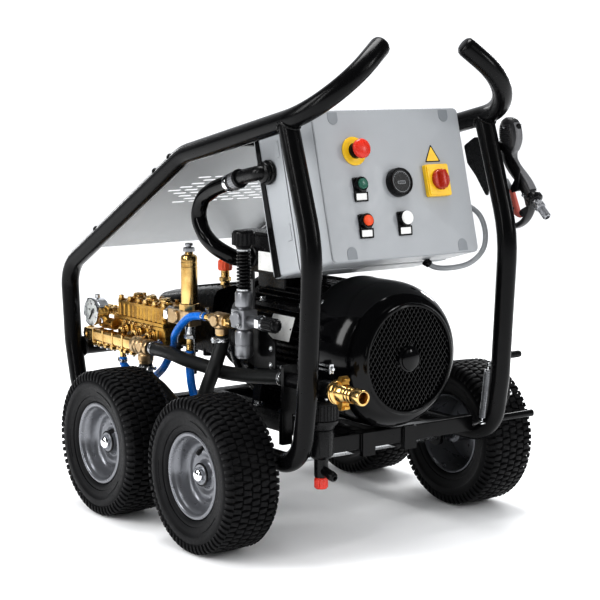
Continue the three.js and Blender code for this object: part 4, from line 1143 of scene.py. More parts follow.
def fan_cover():
    """Pressed cover with its rolled rim, a mesh of crossed wires, and a cap in the middle."""
    at = (0, 0, MOTOR_Z)
    form = Form()
    form.lathe([(154, 291), (157, 291), (157.4, 292.5), (157, 296), (156.4, 299), (156.6, 340),
                (156.8, 375), (156.0, 392), (154.4, 404), (151.4, 417), (147.2, 429), (141.6, 440),
                (135.6, 448.4), (129, 454.8), (123, 458.4), (118.6, 460.4), (117.2, 462.6), (115.6, 465.8),
                (113.4, 467), (111.2, 466.2), (110.2, 463.6), (109.6, 459), (113, 457), (121, 455.6),
                (128, 452), (134, 446), (140, 437.6), (145.4, 427), (149.4, 416), (152.4, 403), (154, 391),
                (154.6, 375), (154.4, 300)], GLOSS_BLACK, "X", at, 144, loop=True)
    for y, z in circle(1.0, 4, math.radians(45)):
        out = Vector((0, y, z))
        form.bolt(Vector((306, 0, MOTOR_Z)) + out * 156.4, out, 6, STEEL, "button")
    form.piece("fan_cover", "frame", "cast_black", ["fan_cover"], crease=50)
    form = Form()
    radius, pitch, half = 110.5, 9.4, 1.5
    reach = int(radius / pitch)
    for way in (-1, 1):
        along = Vector((0, math.cos(way * math.radians(56)), math.sin(way * math.radians(56))))
        across = Vector((0, -along.z, along.y))
        for k in range(-reach, reach + 1):
            offset = k * pitch
            length = math.sqrt(radius * radius - offset * offset)
            x = 461.4 + way * 0.7
            ends = [Vector((x, 0, MOTOR_Z)) + across * offset + along * s * length for s in (-1, 1)]
            form.tube(ends, half, GLOSS_BLACK, 6, flat=0.8)
    form.piece("fan_grille", "frame", "cast_black")
    form = Form()
    form.ring(111.4, 2.2, GLOSS_BLACK, "X", (464.6, 0, MOTOR_Z), 120, 12)
    cap = [(0, 458), (27, 458), (28, 460), (27.4, 464), (24, 466), (23, 469), (19, 471.6), (0, 472)]
    form.lathe(cap, GLOSS_BLACK, "X", at, 56)
    for y, z in circle(30, 3, math.radians(80)):
        form.bolt((462, y, MOTOR_Z + z), "X", 5, GLOSS_BLACK, "button")
    form.piece("fan_cover_rim_and_cap", "frame", "cast_black")


def terminal_box():
    form = Form()
    gland = (45, 0, 584)
    form.block(-8, 138, -112, 32, 551.3, 606, CAST_BLACK, 8)
    form.block(-12, 142, -116, 36, 606.6, 632, CAST_BLACK, 10)
    form.block(-6, 136, -110, 30, 631, 640, CAST_BLACK, 10)
    form.block(-9, 139, -113, 33, 605, 607.4, BLACK_PLASTIC, 8)
    for x in (-3, 133):
        for y in (-107, 27):
            form.bolt((x, y, 632), "Z", 6, STEEL, "socket")
    form.lathe([(0, 108), (24.5, 108), (24.5, 113), (20, 115), (20, 119), (19, 120)], BLACK_PLASTIC, "-Y",
               gland, 40)
    form.rod(23, 114, 126, BLACK_PLASTIC, "-Y", gland, 6, 2)
    form.lathe([(0, 124), (20.5, 124), (21, 128), (19.4, 133), (0, 133)], BLACK_PLASTIC, "-Y", gland, 40)
    form.piece("terminal_box", "frame", "black_plastic", ["terminal_box"], bevel=1.6, crease=40)
    form = Form()
    form.slab(rectangle(62, 42, 1.5), 112.0, 112.6, WHITE, Matrix.Translation((106, 0, 578)) @ XZ)
    form.piece("blank_sticker", "frame", "white_plastic")


def bell_housing():
    """Tapered housing between motor and pump, with cooling rings and a cone."""
    at = (0, 0, MOTOR_Z)
    form = Form()
    profile = [(30, -99), (104, -99), (106, -96), (106, -92), (92, -90)]
    for k in range(7):
        x = -84 + k * 8.4
        profile += [(93 + k, x - 1.6), (105 + k * 1.6, x - 0.9), (105.6 + k * 1.6, x + 0.9),
                    (93 + k, x + 1.8)]
    profile += [(101, -24), (118, -4), (138, 3), (147, 6), (148.4, 9), (148.4, 26), (147, 29), (136, 29),
                (60, -60), (42, -92), (30, -92)]
    form.lathe(profile, CAST_BLACK, "X", at, 96, loop=True)
    for y, z in circle(140, 8, math.pi / 16):
        form.bolt((6, y, MOTOR_Z + z), "-X", 10, STEEL)
    form.piece("bell_housing", "frame", "cast_black", ["bell_housing"], crease=38, bevel=0.6)


motor()
fan_cover()
terminal_box()
bell_housing()


# ---- pump: crankcase, brass head, inlet manifold, gauge, unloader ------------------------------
HEAD = {"x": (-352.0, -291.0, -230.0), "face": -120.4, "front": -206.0, "back": -203.0,
        "low": 357.0, "seam": 402.0, "top": 446.0}
MANIFOLD = Vector((0, -230, 358))
DIAL = {"start": 225.0, "sweep": 270.0, "marks": 50, "pointer": 38.0}     # turns in degrees
FIGURES = ("0", "100", "200", "300", "400", "500")


def ribbed(form, look, radius, start, end, count, depth, axis="Z", at=(0, 0, 0)):
    """A grip with round ribs along it."""
    steps = count * 8
    points = []
    for k in range(steps):
        turn = 2 * math.pi * k / steps
        r = radius - depth * (0.5 - 0.5 * math.cos(turn * count))
        points.append((r * math.cos(turn), r * math.sin(turn)))
    form.slab(points, start, end, look, axis, at)


def crankcase():
    """Gearcase whose roof falls away towards the far end, with cross ribs and an end cover."""
    outline = rounded([(-119, 345, 4), (60, 330, 8), (92, 336, 22), (92, 492, 60), (24, 500, 30),
                       (-64, 500, 30), (-112, 492, 34), (-119, 452, 10)], 6, 8)

    def roof_drop(x):
        return 34.0 * min(1.0, (-99.6 - x) / 240.0) ** 1.3

    def section(x, shrink=1.0):
        share = 1 - roof_drop(x) / 155.0
        return [Vector((x, p[0] * shrink, 345 + (p[1] - 345) * (share if p[1] > 345 else 1.0) * shrink))
                for p in outline]

    form = Form()
    rings = [section(-345, 0.95), section(-342)] + [section(-342 + k * 30.3) for k in range(1, 9)]
    form.skin([[Vector((-345, -12, 410))], *rings, [Vector((rings[-1][0].x, -12, 410))]], CAST_BLACK)
    for x in (-322, -296, -270, -244, -218, -192, -166, -138):
        top = 500 - roof_drop(x)
        form.block(x - 2.4, x + 2.4, -62, 34, top - 12, top + 3.5, CAST_BLACK)
    for y in (-110, 84):
        for x in (-322, -262, -196, -136):
            form.rod(11, 336, 352, CAST_BLACK, "Z", (x, y, 0), 24)
    for y, z in ((-100, 364), (-100, 424), (-56, 452), (20, 452), (72, 416), (74, 356), (-10, 344)):
        form.bolt((-345, y, z), "-X", 8, STEEL, "socket")
    form.rod(44, -353, -344, CAST_BLACK, "X", (0, -14, 398), 56, 2)
    for y, z in circle(35, 6):
        form.bolt((-352, -14 + y, 398 + z), "-X", 6, STEEL, "socket")
    form.piece("pump_crankcase", "frame", "cast_black", ["pump_crankcase"], bevel=1.4)
    form = Form()
    oil = from_origin("oil_cap")
    neck = (oil.x, oil.y, 0)
    form.rod(11, 492, 512, BRASS, "Z", neck, 32)
    form.rod(14, 504, 514, BRASS, "Z", neck, 6, 1.5)
    form.rod(9.6, 513, 529.7, BRASS, "Z", neck, 32)
    for k in range(5):
        form.ring(9.7, 0.6, BRASS, "Z", (oil.x, oil.y, 517 + k * 2.3), 32, 8)
    form.rod(15, -353, -344, BRASS, "X", (0, 40, 366), 6, 1.5)
    form.piece("oil_filler_stem_and_drain_plug", "frame", "brass")
    form = Form(origin=middle("oil_cap") - Vector((0, 0, 14)))
    ribbed(form, ORANGE_RED, 17, 3, 21, 12, 1.3)
    form.rod(16, 0, 6, ORANGE_RED, sides=64)
    form.lathe([(0, 20), (16, 20), (15, 23), (13, 24.2), (12.4, 26.4), (10, 28), (0, 28)], ORANGE_RED,
               sides=64)
    form.piece("oil_cap", "oil_cap", "red_plastic", ["oil_cap"], bevel=0.8, crease=45)


def valve_cap(form, x, y, z, axis, size, height):
    """A hex plug with a washer face, a shallow dish and a socket."""
    at = (x, y, z)
    form.rod(size * 1.06, 0, 3, BRASS, axis, at, 48)
    form.rod(size, 2.5, height - 3, BRASS, axis, at, 6, 1.2, math.pi / 6)
    form.lathe([(0, height - 4), (size * 0.82, height - 4), (size * 0.8, height - 1), (size * 0.7, height),
                (size * 0.34, height), (size * 0.3, height - 3), (0, height - 3)], BRASS, axis, at, 40)


def pump_head():
    """Two-part brass head: valve block below, outlet block above, bolted through both."""
    face, front, back = HEAD["face"], HEAD["front"], HEAD["back"]
    bottom, seam, top = HEAD["low"], HEAD["seam"], HEAD["top"]
    bolt_rows = (-388, -347, -306, -276, -235, -194)
    form = Form()
    form.block(-398, -184, front + 8, face, bottom + 3, seam - 0.8, CAST_BRASS, 4)
    form.block(-400, -182, front + 3, face, seam - 8, seam - 0.6, CAST_BRASS, 5)
    form.block(-396, -186, front + 4, face, bottom, bottom + 9, CAST_BRASS, 5)
    form.block(-393, -189, back + 6, face, seam + 0.6, top - 5, CAST_BRASS, 4)
    form.block(-396, -186, back + 1, face, seam + 0.6, seam + 8, CAST_BRASS, 5)
    form.block(-394, -188, back + 3, face + 0.2, top - 7, top, CAST_BRASS, 6)
    form.block(-388, -194, back + 12, face - 6, top - 1, top + 2.5, CAST_BRASS, 5)
    for x in (-368, -327, -291, -255, -214):
        form.rod(6.5, bottom + 8, seam - 7, CAST_BRASS, "Z", (x, front + 9, 0), 24, 1.5)
        form.rod(6, seam + 7, top - 6, CAST_BRASS, "Z", (x, back + 10, 0), 24, 1.5)
    for x in HEAD["x"]:
        form.rod(17, front - 1, front + 12, CAST_BRASS, "Y", (x, 0, 377), 48, 2)
        form.rod(18, top, top + 7.5, CAST_BRASS, "Z", (x, -166, 0), 48, 1.5)
    for x in bolt_rows:
        form.rod(7.6, seam + 4, top + 3, CAST_BRASS, "Z", (x, back + 11, 0), 28, 1.2)
        form.rod(7.6, top - 4, top + 3, CAST_BRASS, "Z", (x, -129, 0), 28, 1.2)
    form.block(-420, -396, -197, -170, 382, 424, CAST_BRASS, 5)
    form.rod(17, -402, -390, CAST_BRASS, "X", (0, -176, 418), 40, 2)
    form.rod(17, -188, -174, CAST_BRASS, "X", (0, -186, 428), 40, 2)
    form.rod(13.5, -446, -392, CAST_BRASS, "X", (0, -206, 385), 40, 2)
    form.rod(16, -452, -438, CAST_BRASS, "X", (0, -206, 385), 6, 2)
    form.piece("pump_head", "frame", "brass", ["pump_head"], bevel=1.2)
    form = Form()
    for x in HEAD["x"]:
        valve_cap(form, x, -166, top + 7, "Z", 14, 11)
        valve_cap(form, x, front, 377, "-Y", 12.5, 13)
    outlet = (0, -187, 414)
    form.rod(10.5, -462, -398, BRASS, "X", outlet, 40)
    form.rod(14, -430, -418, BRASS, "X", outlet, 6, 1.5)
    form.rod(13, -463, -438, BRASS, "X", outlet, 8, 2)
    form.piece("pump_head_valve_caps", "frame", "brass", crease=30)
    form = Form()
    for x in bolt_rows:
        form.bolt((x, back + 11, top + 3), "Z", 7.4, BRASS, "socket")
        form.bolt((x, -129, top + 3), "Z", 7.4, BRASS, "socket")
    for x in (-347.5, -327, -308.5, -273.5, -255, -235):
        form.bolt((x, front + 2.6, seam - 4), "-Y", 4.6, BRASS, "socket")
    for x in (-321.5, -260.5):
        form.bolt((x, front + 1, bottom + 14), "-Y", 8, STEEL, "socket")
    form.piece("pump_head_bolts", "frame", "steel")


def worm_clamp(form, at, along, radius, turn=0.0, width=9.0):
    """A steel hose clamp: perforated band, worm housing and its screw."""
    place = aim(along, at) @ Matrix.Rotation(turn, 4, "Z")
    way = place.to_3x3() @ AXIS["Z"]
    band = width / 2
    form.lathe([(radius, -band), (radius + 1.3, -band), (radius + 1.5, -band + 0.5),
                (radius + 1.5, band - 0.5), (radius + 1.3, band), (radius, band)], STEEL, way, at, 56,
               loop=True)
    form.slab(rectangle(12, width + 1.5, 2), radius + 0.8, radius + 7, STEEL,
              place @ Matrix.Rotation(math.pi / 2, 4, "Y"))
    form.rod(3.6, -10, 9, STEEL, place.to_3x3() @ AXIS["Y"], place @ Vector((radius + 4.4, 0, 0)), 24, 0.8)
    form.rod(4.8, -15, -9, STEEL, place.to_3x3() @ AXIS["Y"], place @ Vector((radius + 4.4, 0, 0)), 6, 0.8)
    for k in range(14):
        angle = 0.6 + k * 0.36
        spot = place @ Vector((radius * math.cos(angle), radius * math.sin(angle), 0))
        out = place.to_3x3() @ Vector((math.cos(angle), math.sin(angle), 0))
        form.slab(rectangle(1.2, width * 0.62, 0.4, 0, 0, 2), 1.2, 1.9, BLACK_PLASTIC, aim(out, spot))


def inlet_manifold():
    """Bar under the valve block with its end plug and tee, and a separate piece of plugs and ports."""
    y, z = MANIFOLD.y, MANIFOLD.z
    along = (0, y, z)
    form = Form()
    bar = rounded_box(-14.5, 14.5, -14.5, 14.5, 7)
    form.slab([(-b, a + y) for a, b in bar], -482, -252, BRASS, "X", (0, 0, z))
    form.lathe([(0, -486), (13, -486), (14, -485), (14, -480), (16.6, -479), (17, -477), (17, -470),
                (14, -468), (0, -468)], BRASS, "X", along, 56)
    for x in (-437, -391, -345, -299):
        form.block(x - 3, x + 3, y - 16, y + 16, z - 16, z + 16, BRASS, 2)
    form.lathe([(0, -262), (17, -262), (20, -258), (20.6, -256), (20.6, -246), (18, -243), (18, -238),
                (21, -236), (21, -231), (19, -229), (17, -222), (17, -206), (19, -203), (19, -193),
                (17.5, -190), (0, -190)], PALE_BRASS, "X", along, 72)
    form.lathe([(0, 318.2), (15.6, 318.2), (16, 319), (16.4, 324), (18.4, 326), (18.6, 330), (18.6, 338),
                (16.6, 341), (17.4, 350), (0, 358)], PALE_BRASS, "Z", (-215, y, 0), 56)
    form.rod(14, y - 20, y + 6, PALE_BRASS, "Y", (-215, 0, z), 40, 3)
    form.piece("inlet_manifold", "frame", "brass", ["inlet_manifold"])
    form = Form()
    for x in HEAD["x"]:
        form.rod(9, -240, -200.4, BRASS, "Y", (x, 0, z + 2), 36)
        form.rod(13.5, -212, -203, BRASS, "Y", (x, 0, z + 2), 6, 1.2)
    for x in (-452, -421.5, -391, -360.5, -299.5, -269):
        form.rod(7.6, z - 21, z - 12, BRASS, "Z", (x, y, 0), 32)
        form.rod(9.6, z - 27, z - 19.5, BRASS, "Z", (x, y, 0), 6, 1.2)
        form.bolt((x, y, z - 26.8), "-Z", 5, STEEL, "socket", False)
    form.rod(8, z - 37.6, z - 14, BRASS, "Z", (-318, y, 0), 36)
    form.rod(11, z - 26, z - 17, BRASS, "Z", (-318, y, 0), 6, 1.2)
    form.rod(12, -486.6, -484, BRASS, "X", along, 6, 1)
    form.piece("manifold_plugs_and_ports", "frame", "brass", crease=30)


def numerals(form, text, size, place, look):
    """Dial figures, as thin solids from the built-in face."""
    curve = bpy.data.curves.new("figures", "FONT")
    curve.body = text
    curve.size = size
    curve.extrude = 0.15
    curve.align_x, curve.align_y = "CENTER", "CENTER"
    holder = bpy.data.objects.new("figures", curve)
    bpy.context.scene.collection.objects.link(holder)
    mesh = holder.to_mesh()
    mesh.transform(place)
    start = len(form.bm.faces)
    form.bm.from_mesh(mesh)
    form.bm.faces.ensure_lookup_table()
    for face in form.bm.faces[start:]:
        face.material_index = form.look_index(look)
    holder.to_mesh_clear()
    bpy.data.objects.remove(holder)


def gauge():
    """Gauge on the pump head: chromed case, dial, marks, pointer and window."""
    centre = from_origin("gauge_case")
    x, z = centre.x, 414.0
    back = -210.0
    form = Form()
    at = (x, back, z)
    form.lathe([(0, 0), (29, 0), (32, 2), (32.6, 6), (32.6, 27), (34, 28), (34.4, 29.4), (34.4, 35.4),
                (33.8, 36.6), (32.8, 37), (31.8, 36.4), (31.6, 34), (31.6, 26), (0, 26)], CHROME, "-Y", at,
               96)
    form.rod(9, -12, 1, BRASS, "-Y", at, 6, 1)
    form.rod(6.5, 12, 24, STEEL, "Z", (x, -226, z + 18), 24, 1.5)
    form.piece("gauge_case", "frame", "chrome", ["gauge_case"], crease=40)
    form = Form()
    form.lathe([(0, 26.1), (31.4, 26.1), (31.4, 28.0), (0, 28.0)], WHITE, "-Y", at, 72)
    form.piece("gauge_dial", "frame", "white_plastic")
    form = Form()
    face = back - 28.1                # just off the dial
    for k in range(DIAL["marks"] + 1):
        turn = math.radians(DIAL["start"] - DIAL["sweep"] * k / DIAL["marks"])
        inner, width = (24.4, 0.42) if k % 5 == 0 else (26.6, 0.2)
        ends = [Vector((x + r * math.cos(turn), face, z + r * math.sin(turn))) for r in (inner, 28.8)]
        form.tube(ends, width, BLACK_PLASTIC, 4)
    for k, text in enumerate(FIGURES):
        turn = math.radians(DIAL["start"] - DIAL["sweep"] * k / (len(FIGURES) - 1))
        spot = Matrix.Translation((x + 19.4 * math.cos(turn), face, z + 19.4 * math.sin(turn)))
        numerals(form, text, 6.0, spot @ XZ, BLACK_PLASTIC)
    form.piece("gauge_marks", "frame", "black_plastic")
    form = Form()
    front = back - 30.2
    place = Matrix.Translation((x, front, z)) @ Matrix.Rotation(math.radians(DIAL["pointer"]), 4, "Y")
    needle = [(-2.6, 9), (2.6, 9), (1.1, -25), (-1.1, -25)]
    form.slab(needle, -0.1, 1.1, BLACK_PLASTIC, place @ XZ)
    form.lathe([(0, -1.6), (3.8, -1.6), (3.8, 1.4), (3.0, 2.4), (0, 2.6)], BLACK_PLASTIC, "-Y",
               (x, front, z), 32)
    form.piece("gauge_pointer", "gauge_pointer", "black_plastic", ["gauge_pointer"])
    form = Form()
    form.lathe([(0, 33.8), (31.5, 33.8), (31.5, 35.2), (0, 35.2)], GLASS, "-Y", at, 72)
    form.piece("gauge_window", "frame", "white_plastic")


def unloader():
    """Valve block with its spring housing, the fittings to the pump and the drain hose, and the adjuster."""
    x, y = -72.0, -200.0
    stem = (x, y, 0)
    form = Form()
    form.block(-139, -48, y - 18, y + 18, 424, 456, PALE_BRASS, 5)
    form.rod(22, 422, 458, PALE_BRASS, "Z", stem, 48, 2)
    form.rod(17, 424, 456, PALE_BRASS, "Z", (-122, y + 6, 0), 48, 2)
    form.rod(15, y - 24, y + 22, PALE_BRASS, "Y", (-104, 0, 440), 40, 2)
    form.rod(13, -142, -136, PALE_BRASS, "X", (0, -190, 437), 40)
    form.piece("unloader_valve", "frame", "brass", ["unloader_valve"], bevel=1.4)
    form = Form()
    form.rod(23, 457, 473, BRASS, "Z", stem, 6, 1.6)
    form.lathe([(0, 472), (18.4, 472), (18.8, 474), (18.8, 556), (18.0, 557), (18.0, 559), (18.8, 560),
                (18.8, 566), (18.0, 567), (18.0, 569), (18.8, 570), (18.8, 576), (17, 580.6), (13, 583),
                (9.5, 584), (9, 589.6), (0, 589.6)], BRASS, "Z", stem, 72)
    form.rod(12.4, -171, -138, BRASS, "X", (0, -190, 437), 32)
    form.lathe([(0, 365), (8.4, 365), (8.8, 367), (7.8, 370), (8.8, 371), (7.8, 375), (8.8, 376), (7.8, 380),
                (8, 392), (0, 392)], BRASS, "Z", stem, 40)
    form.piece("unloader_spring_housing", "frame", "brass")
    form = Form()
    form.rod(19, -172, -157, CHROME, "X", (0, -192, 437), 6, 1.6)
    form.rod(17, -157, -141, CHROME, "X", (0, -192, 437), 48, 3)
    form.rod(14, 392, 402, STEEL, "Z", stem, 6, 1.4)
    form.rod(10.5, 402, 423, STEEL, "Z", stem, 40)
    form.piece("unloader_fittings", "frame", "chrome")
    form = Form()
    form.lathe([(0, 590.3), (12.6, 590.3), (13, 591.4), (13, 598), (11.6, 599.8), (0, 599.8)], ZINC, "Z",
               stem, 6)
    form.lathe([(0, 599), (5.6, 599), (5.6, 603), (8.6, 603.6), (9, 605), (8.8, 608), (7.8, 609), (3.4, 609),
                (3.4, 606), (0, 606)], ZINC, "Z", stem, 32)
    form.piece("unloader_adjuster", "unloader_adjuster", "brass", ["unloader_adjuster"], crease=30)


crankcase()
pump_head()
inlet_manifold()
gauge()
unloader()


# ---- regulator valve, elbow and their bracket --------------------------------------------------
REGULATOR = Vector((190, -230, 0))


def regulator():
    """Zinc valve with its side arm and cap, spring, knob and bracket."""
    x, y = REGULATOR.x, REGULATOR.y
    arm = (0, y, 470)
    stem = (x, y, 0)
    form = Form()
    form.lathe([(0, 387), (15, 387), (15.6, 388), (15.6, 391), (18.6, 392), (19.6, 394), (19.6, 414),
                (18.8, 415), (18.8, 417), (19.6, 418), (19.6, 443), (18.4, 446), (14.6, 450), (14.6, 495),
                (16, 498), (18.4, 499), (18.8, 501), (18.8, 527), (17.6, 530), (15.6, 531.6), (0, 531.6)],
               ZINC, "Z", stem, 64)
    form.block(x - 23, x + 25, y - 19, y + 19, 453, 492, ZINC, 4)
    form.rod(21, 455, 490, ZINC, "Z", stem, 8, 2)
    form.rod(17, y - 25, y, ZINC, "Y", (x, 0, 472), 40, 2)
    form.lathe([(0, x - 40), (10.4, x - 40), (10.4, x - 24), (12, x - 22), (12, x + 26), (13.4, x + 30),
                (13.4, x + 58), (0, x + 58)], ZINC, "X", arm, 48)
    form.bolt((x - 8, y - 19.5, 484), "-Y", 5, STEEL, "socket")
    form.bolt((x + 12, y - 19.5, 460), "-Y", 5, STEEL, "socket")
    form.piece("regulator_body", "frame", "zinc_grey", ["regulator_body"], bevel=1.0)
    form = Form()
    form.rod(17.4, x + 58, x + 72, CHROME, "X", arm, 6, 1.5)
    form.rod(12, x + 72, x + 82, STEEL, "X", arm, 40)
    form.piece("regulator_side_nut", "frame", "chrome")
    form = Form()
    ribbed(form, BLACK_PLASTIC, 16, x + 82, x + 116, 14, 1.4, "X", arm)
    form.lathe([(0, x + 112), (14, x + 112), (13.2, x + 119), (10, x + 121.6), (0, x + 121.6)],
               BLACK_PLASTIC, "X", arm, 48)
    form.piece("regulator_side_cap", "frame", "black_plastic", bevel=0.5, crease=50)
    form = Form()
    turns, start, end = 11, 537.0, 617.0
    ring = circle(12.6, 24)
    coil = []
    for k in range(turns * 24 + 1):
        dx, dy = ring[k % 24]
        coil.append(Vector((x + dx, y + dy, start + (end - start) * k / (turns * 24))))
    form.tube(coil, 2.9, GLOSS_BLACK, 12)
    form.lathe([(7.4, 534), (9.4, 534), (9.4, 620), (7.4, 620)], MATT_BLACK, "Z", stem, 40, loop=True)
    for height in (532.4, 617):
        form.lathe([(9, 0), (15.4, 0), (15.4, 3.4), (9, 3.4)], STEEL, "Z", (x, y, height), 48, loop=True)
    form.piece("regulator_spring", "frame", "black_plastic", ["regulator_spring"])
    form = Form()
    form.rod(6.4, 533, 624, STEEL, "Z", stem, 32)
    ribbed(form, BLACK_PLASTIC, 25.4, 630, 655, 16, 2.2, "Z", stem)
    form.lathe([(0, 622), (15, 622), (17, 627), (23, 631), (0, 631.4)], BLACK_PLASTIC, "Z", stem, 56)
    form.lathe([(0, 654), (23.4, 654), (22.6, 658), (19.6, 660.4), (10, 661), (0, 660)], BLACK_PLASTIC, "Z",
               stem, 56)
    form.piece("regulator_knob", "regulator_knob", "black_plastic", ["regulator_knob"], bevel=0.5, crease=50)
    form = Form()
    plate = rounded([(96, 486), (160, 552), (176, 552), (176, 448), (96, 448)], 5)
    form.slab(upright(plate), y + 33, y + 38, CAST_GREY, "Y")
    foot = rounded([(158, 372), (212, 360), (262, 356), (262, 426), (212, 452), (160, 452)], 6)
    form.slab(upright(foot), y + 30, y + 34, FRAME_BLACK, "Y")
    for px, pz in ((176, 392), (246, 376), (246, 412)):
        form.bolt((px, y + 30, pz), "-Y", 6, STEEL, "button")
    form.piece("regulator_bracket", "frame", "frame_black", bevel=0.8)


def elbow():
    """Brass elbow between the regulator, the return hose and the bypass hose."""
    y, x = REGULATOR.y, 105.0
    arm = (0, y, 458)
    stem = (x, y, 0)
    form = Form()
    form.lathe([(0, 66), (11.8, 66), (12, 70), (12, 83), (16, 86), (17.6, 88), (17.6, 124), (16.6, 128),
                (0, 128)], PALE_BRASS, "X", arm, 56)
    form.lathe([(0, 428), (14.6, 428), (15, 440), (17.6, 442.6), (18.6, 446), (18.6, 466), (16, 471.6),
                (10, 473.8), (0, 474)], PALE_BRASS, "Z", stem, 56)
    form.rod(13, -254, -240, PALE_BRASS, "Y", (x, 0, 458), 40, 2)
    form.piece("brass_elbow", "frame", "brass", ["brass_elbow"])
    form = Form()
    form.rod(15.4, 126, 136, BRASS, "X", arm, 6, 1.5)
    form.rod(12, 135, 149.4, BRASS, "X", arm, 36)
    form.lathe([(0, 44), (7, 44), (8, 46), (7, 50), (8, 51), (7, 55), (8, 56), (7, 60), (8, 61), (8, 67),
                (0, 67)], BRASS, "X", arm, 36)
    form.rod(12.6, 425, 430, BRASS, "Z", stem, 36)
    form.piece("elbow_fittings", "frame", "brass")


regulator()
elbow()


# ---- water inlet: filter and claw coupling -----------------------------------------------------
INLET = Vector((0, -214, 360))


def water_filter():
    """Inlet filter under its head, with the bracket, the pair of screw rods, the drain spout and its cap."""
    x, y = 424.0, -200.0
    stem = (x, y, 0)
    form = Form()
    form.lathe([(0, 326), (11.4, 326), (11.4, 332), (15.6, 333), (15.6, 452), (18.6, 454), (18.6, 480),
                (16, 484), (0, 484)], BLACK_PLASTIC, "X", (0, INLET.y, INLET.z), 48)
    form.lathe([(0, 270.4), (25, 270.4), (27, 272), (29, 277), (35.6, 283), (36.8, 286), (36.8, 290),
                (34.4, 291.6), (34.4, 322), (36.6, 323.6), (36.8, 330), (34, 334), (27, 338), (0, 340)],
               BLACK_PLASTIC, "Z", stem, 72)
    for dx, dy in circle(34.6, 28):
        form.tube([Vector((x + dx, y + dy, z)) for z in (292, 322)], 1.5, BLACK_PLASTIC, 8)
    form.block(x - 16, x + 16, y - 26, y + 10, 336, 362, BLACK_PLASTIC, 5)
    form.rod(20, y - 37, y + 4, BLACK_PLASTIC, "Y", (x, 0, 350), 40, 2)
    for dx in (-27, 27):
        form.bolt((x + dx, y - 8, 334), "Z", 5, STEEL, "socket")
    form.piece("filter_head", "frame", "black_plastic", ["filter_head"], bevel=1.0, crease=40)
    form = Form()
    form.slab(endwise(rounded_box(y - 34, y + 7, 288, 392, 4)), 331, 340, FRAME_BLACK, "X")
    form.block(322, 336, y - 34, y - 8, 224, 300, FRAME_BLACK, 2)
    for pz in (302, 378):
        form.bolt((331, y - 22, pz), "-X", 6, STEEL, "button")
    form.piece("filter_bracket", "frame", "frame_black", bevel=0.8)
    form = Form()
    for height in (402, 411):
        form.rod(2.4, 430, 494, STEEL, "X", (0, -226, height), 24)
    form.block(488, 494, -231, -221, 397, 416, STEEL, 1.5)
    form.rod(4.4, 494, 499, STEEL, "X", (0, -226, 406.5), 6, 0.8)
    form.block(430, 436, -234, -219, 390, 418, STEEL, 1.5)
    form.piece("filter_screw_rods", "frame", "steel")
    form = Form()
    form.lathe([(0, 269.6), (25.4, 269.6), (25.8, 267), (25.2, 230), (24.6, 216), (21, 211), (15.4, 208),
                (14.8, 204), (14.6, 174), (13.4, 170.4), (0, 170.4)], BLACK_PLASTIC, "Z", stem, 64)
    for dx, dy in circle(25.0, 8):
        form.tube([Vector((x + dx, y + dy, z)) for z in (218, 262)], 1.3, BLACK_PLASTIC, 8)
    way = Vector((math.cos(0.25), 0, -math.sin(0.25)))
    form.lathe([(0, 0), (9.6, 0), (9.6, 22), (10.4, 23), (10.4, 27), (9.2, 34), (6.4, 38), (4.4, 38),
                (4.0, 30), (0, 30)], BLACK_PLASTIC, way, (x + 10, y, 185), 32)
    form.piece("filter_bowl", "frame", "black_plastic", ["filter_bowl"])
    form = Form()
    ribbed(form, RED, 14.4, 149, 166, 16, 1.5, "Z", stem)
    form.lathe([(0, 146), (11.4, 146), (13, 147.4), (13.2, 150), (0, 150)], RED, "Z", stem, 48)
    form.rod(13.4, 165, 169.6, RED, "Z", stem, 48)
    form.piece("drain_cap", "drain_cap", "red_plastic", ["drain_cap"], bevel=0.5, crease=50)


def claw_coupling():
    """Brass coupling with two claws and a ribbed tail for the supply hose."""
    form = Form()
    at = (0, INLET.y, INLET.z)
    form.lathe([(0, 484.3), (19, 484.3), (20, 485.4), (20, 490), (24.6, 493), (25.8, 495), (25.8, 499),
                (24.4, 500), (24.4, 502), (25.8, 503), (25.8, 506.4), (24.8, 508), (20.6, 509.6),
                (20.4, 514), (19.4, 523), (18, 527), (16.6, 530), (15.6, 533), (16.6, 535), (16.6, 540),
                (15.6, 543), (16.6, 545), (16.6, 550), (15.6, 553), (16.6, 555), (16.6, 576), (15.8, 579.4),
                (14.6, 580), (11.8, 580), (11.2, 579), (11.2, 540), (0, 538)], BRASS, "X", at, 72)
    for side in (-1, 1):
        lug = rounded([(508, side * 16, 1), (524, side * 16, 1), (523, side * 29, 3), (519.5, side * 34.6, 3),
                       (512, side * 34.6, 4), (507.6, side * 27, 3)], 2)
        form.slab(upright(lug), -8.6, 8.6, CAST_BRASS, "Y", at)
        hook = rounded([(519, side * 24, 1), (529, side * 25.5, 1.5), (528.6, side * 31.5, 2),
                        (519, side * 33, 1)], 1)
        form.slab(upright(hook), -6.4, 6.4, CAST_BRASS, "Y", at)
    form.piece("inlet_coupling", "frame", "brass", ["inlet_coupling"], bevel=0.5, crease=38)


water_filter()
claw_coupling()


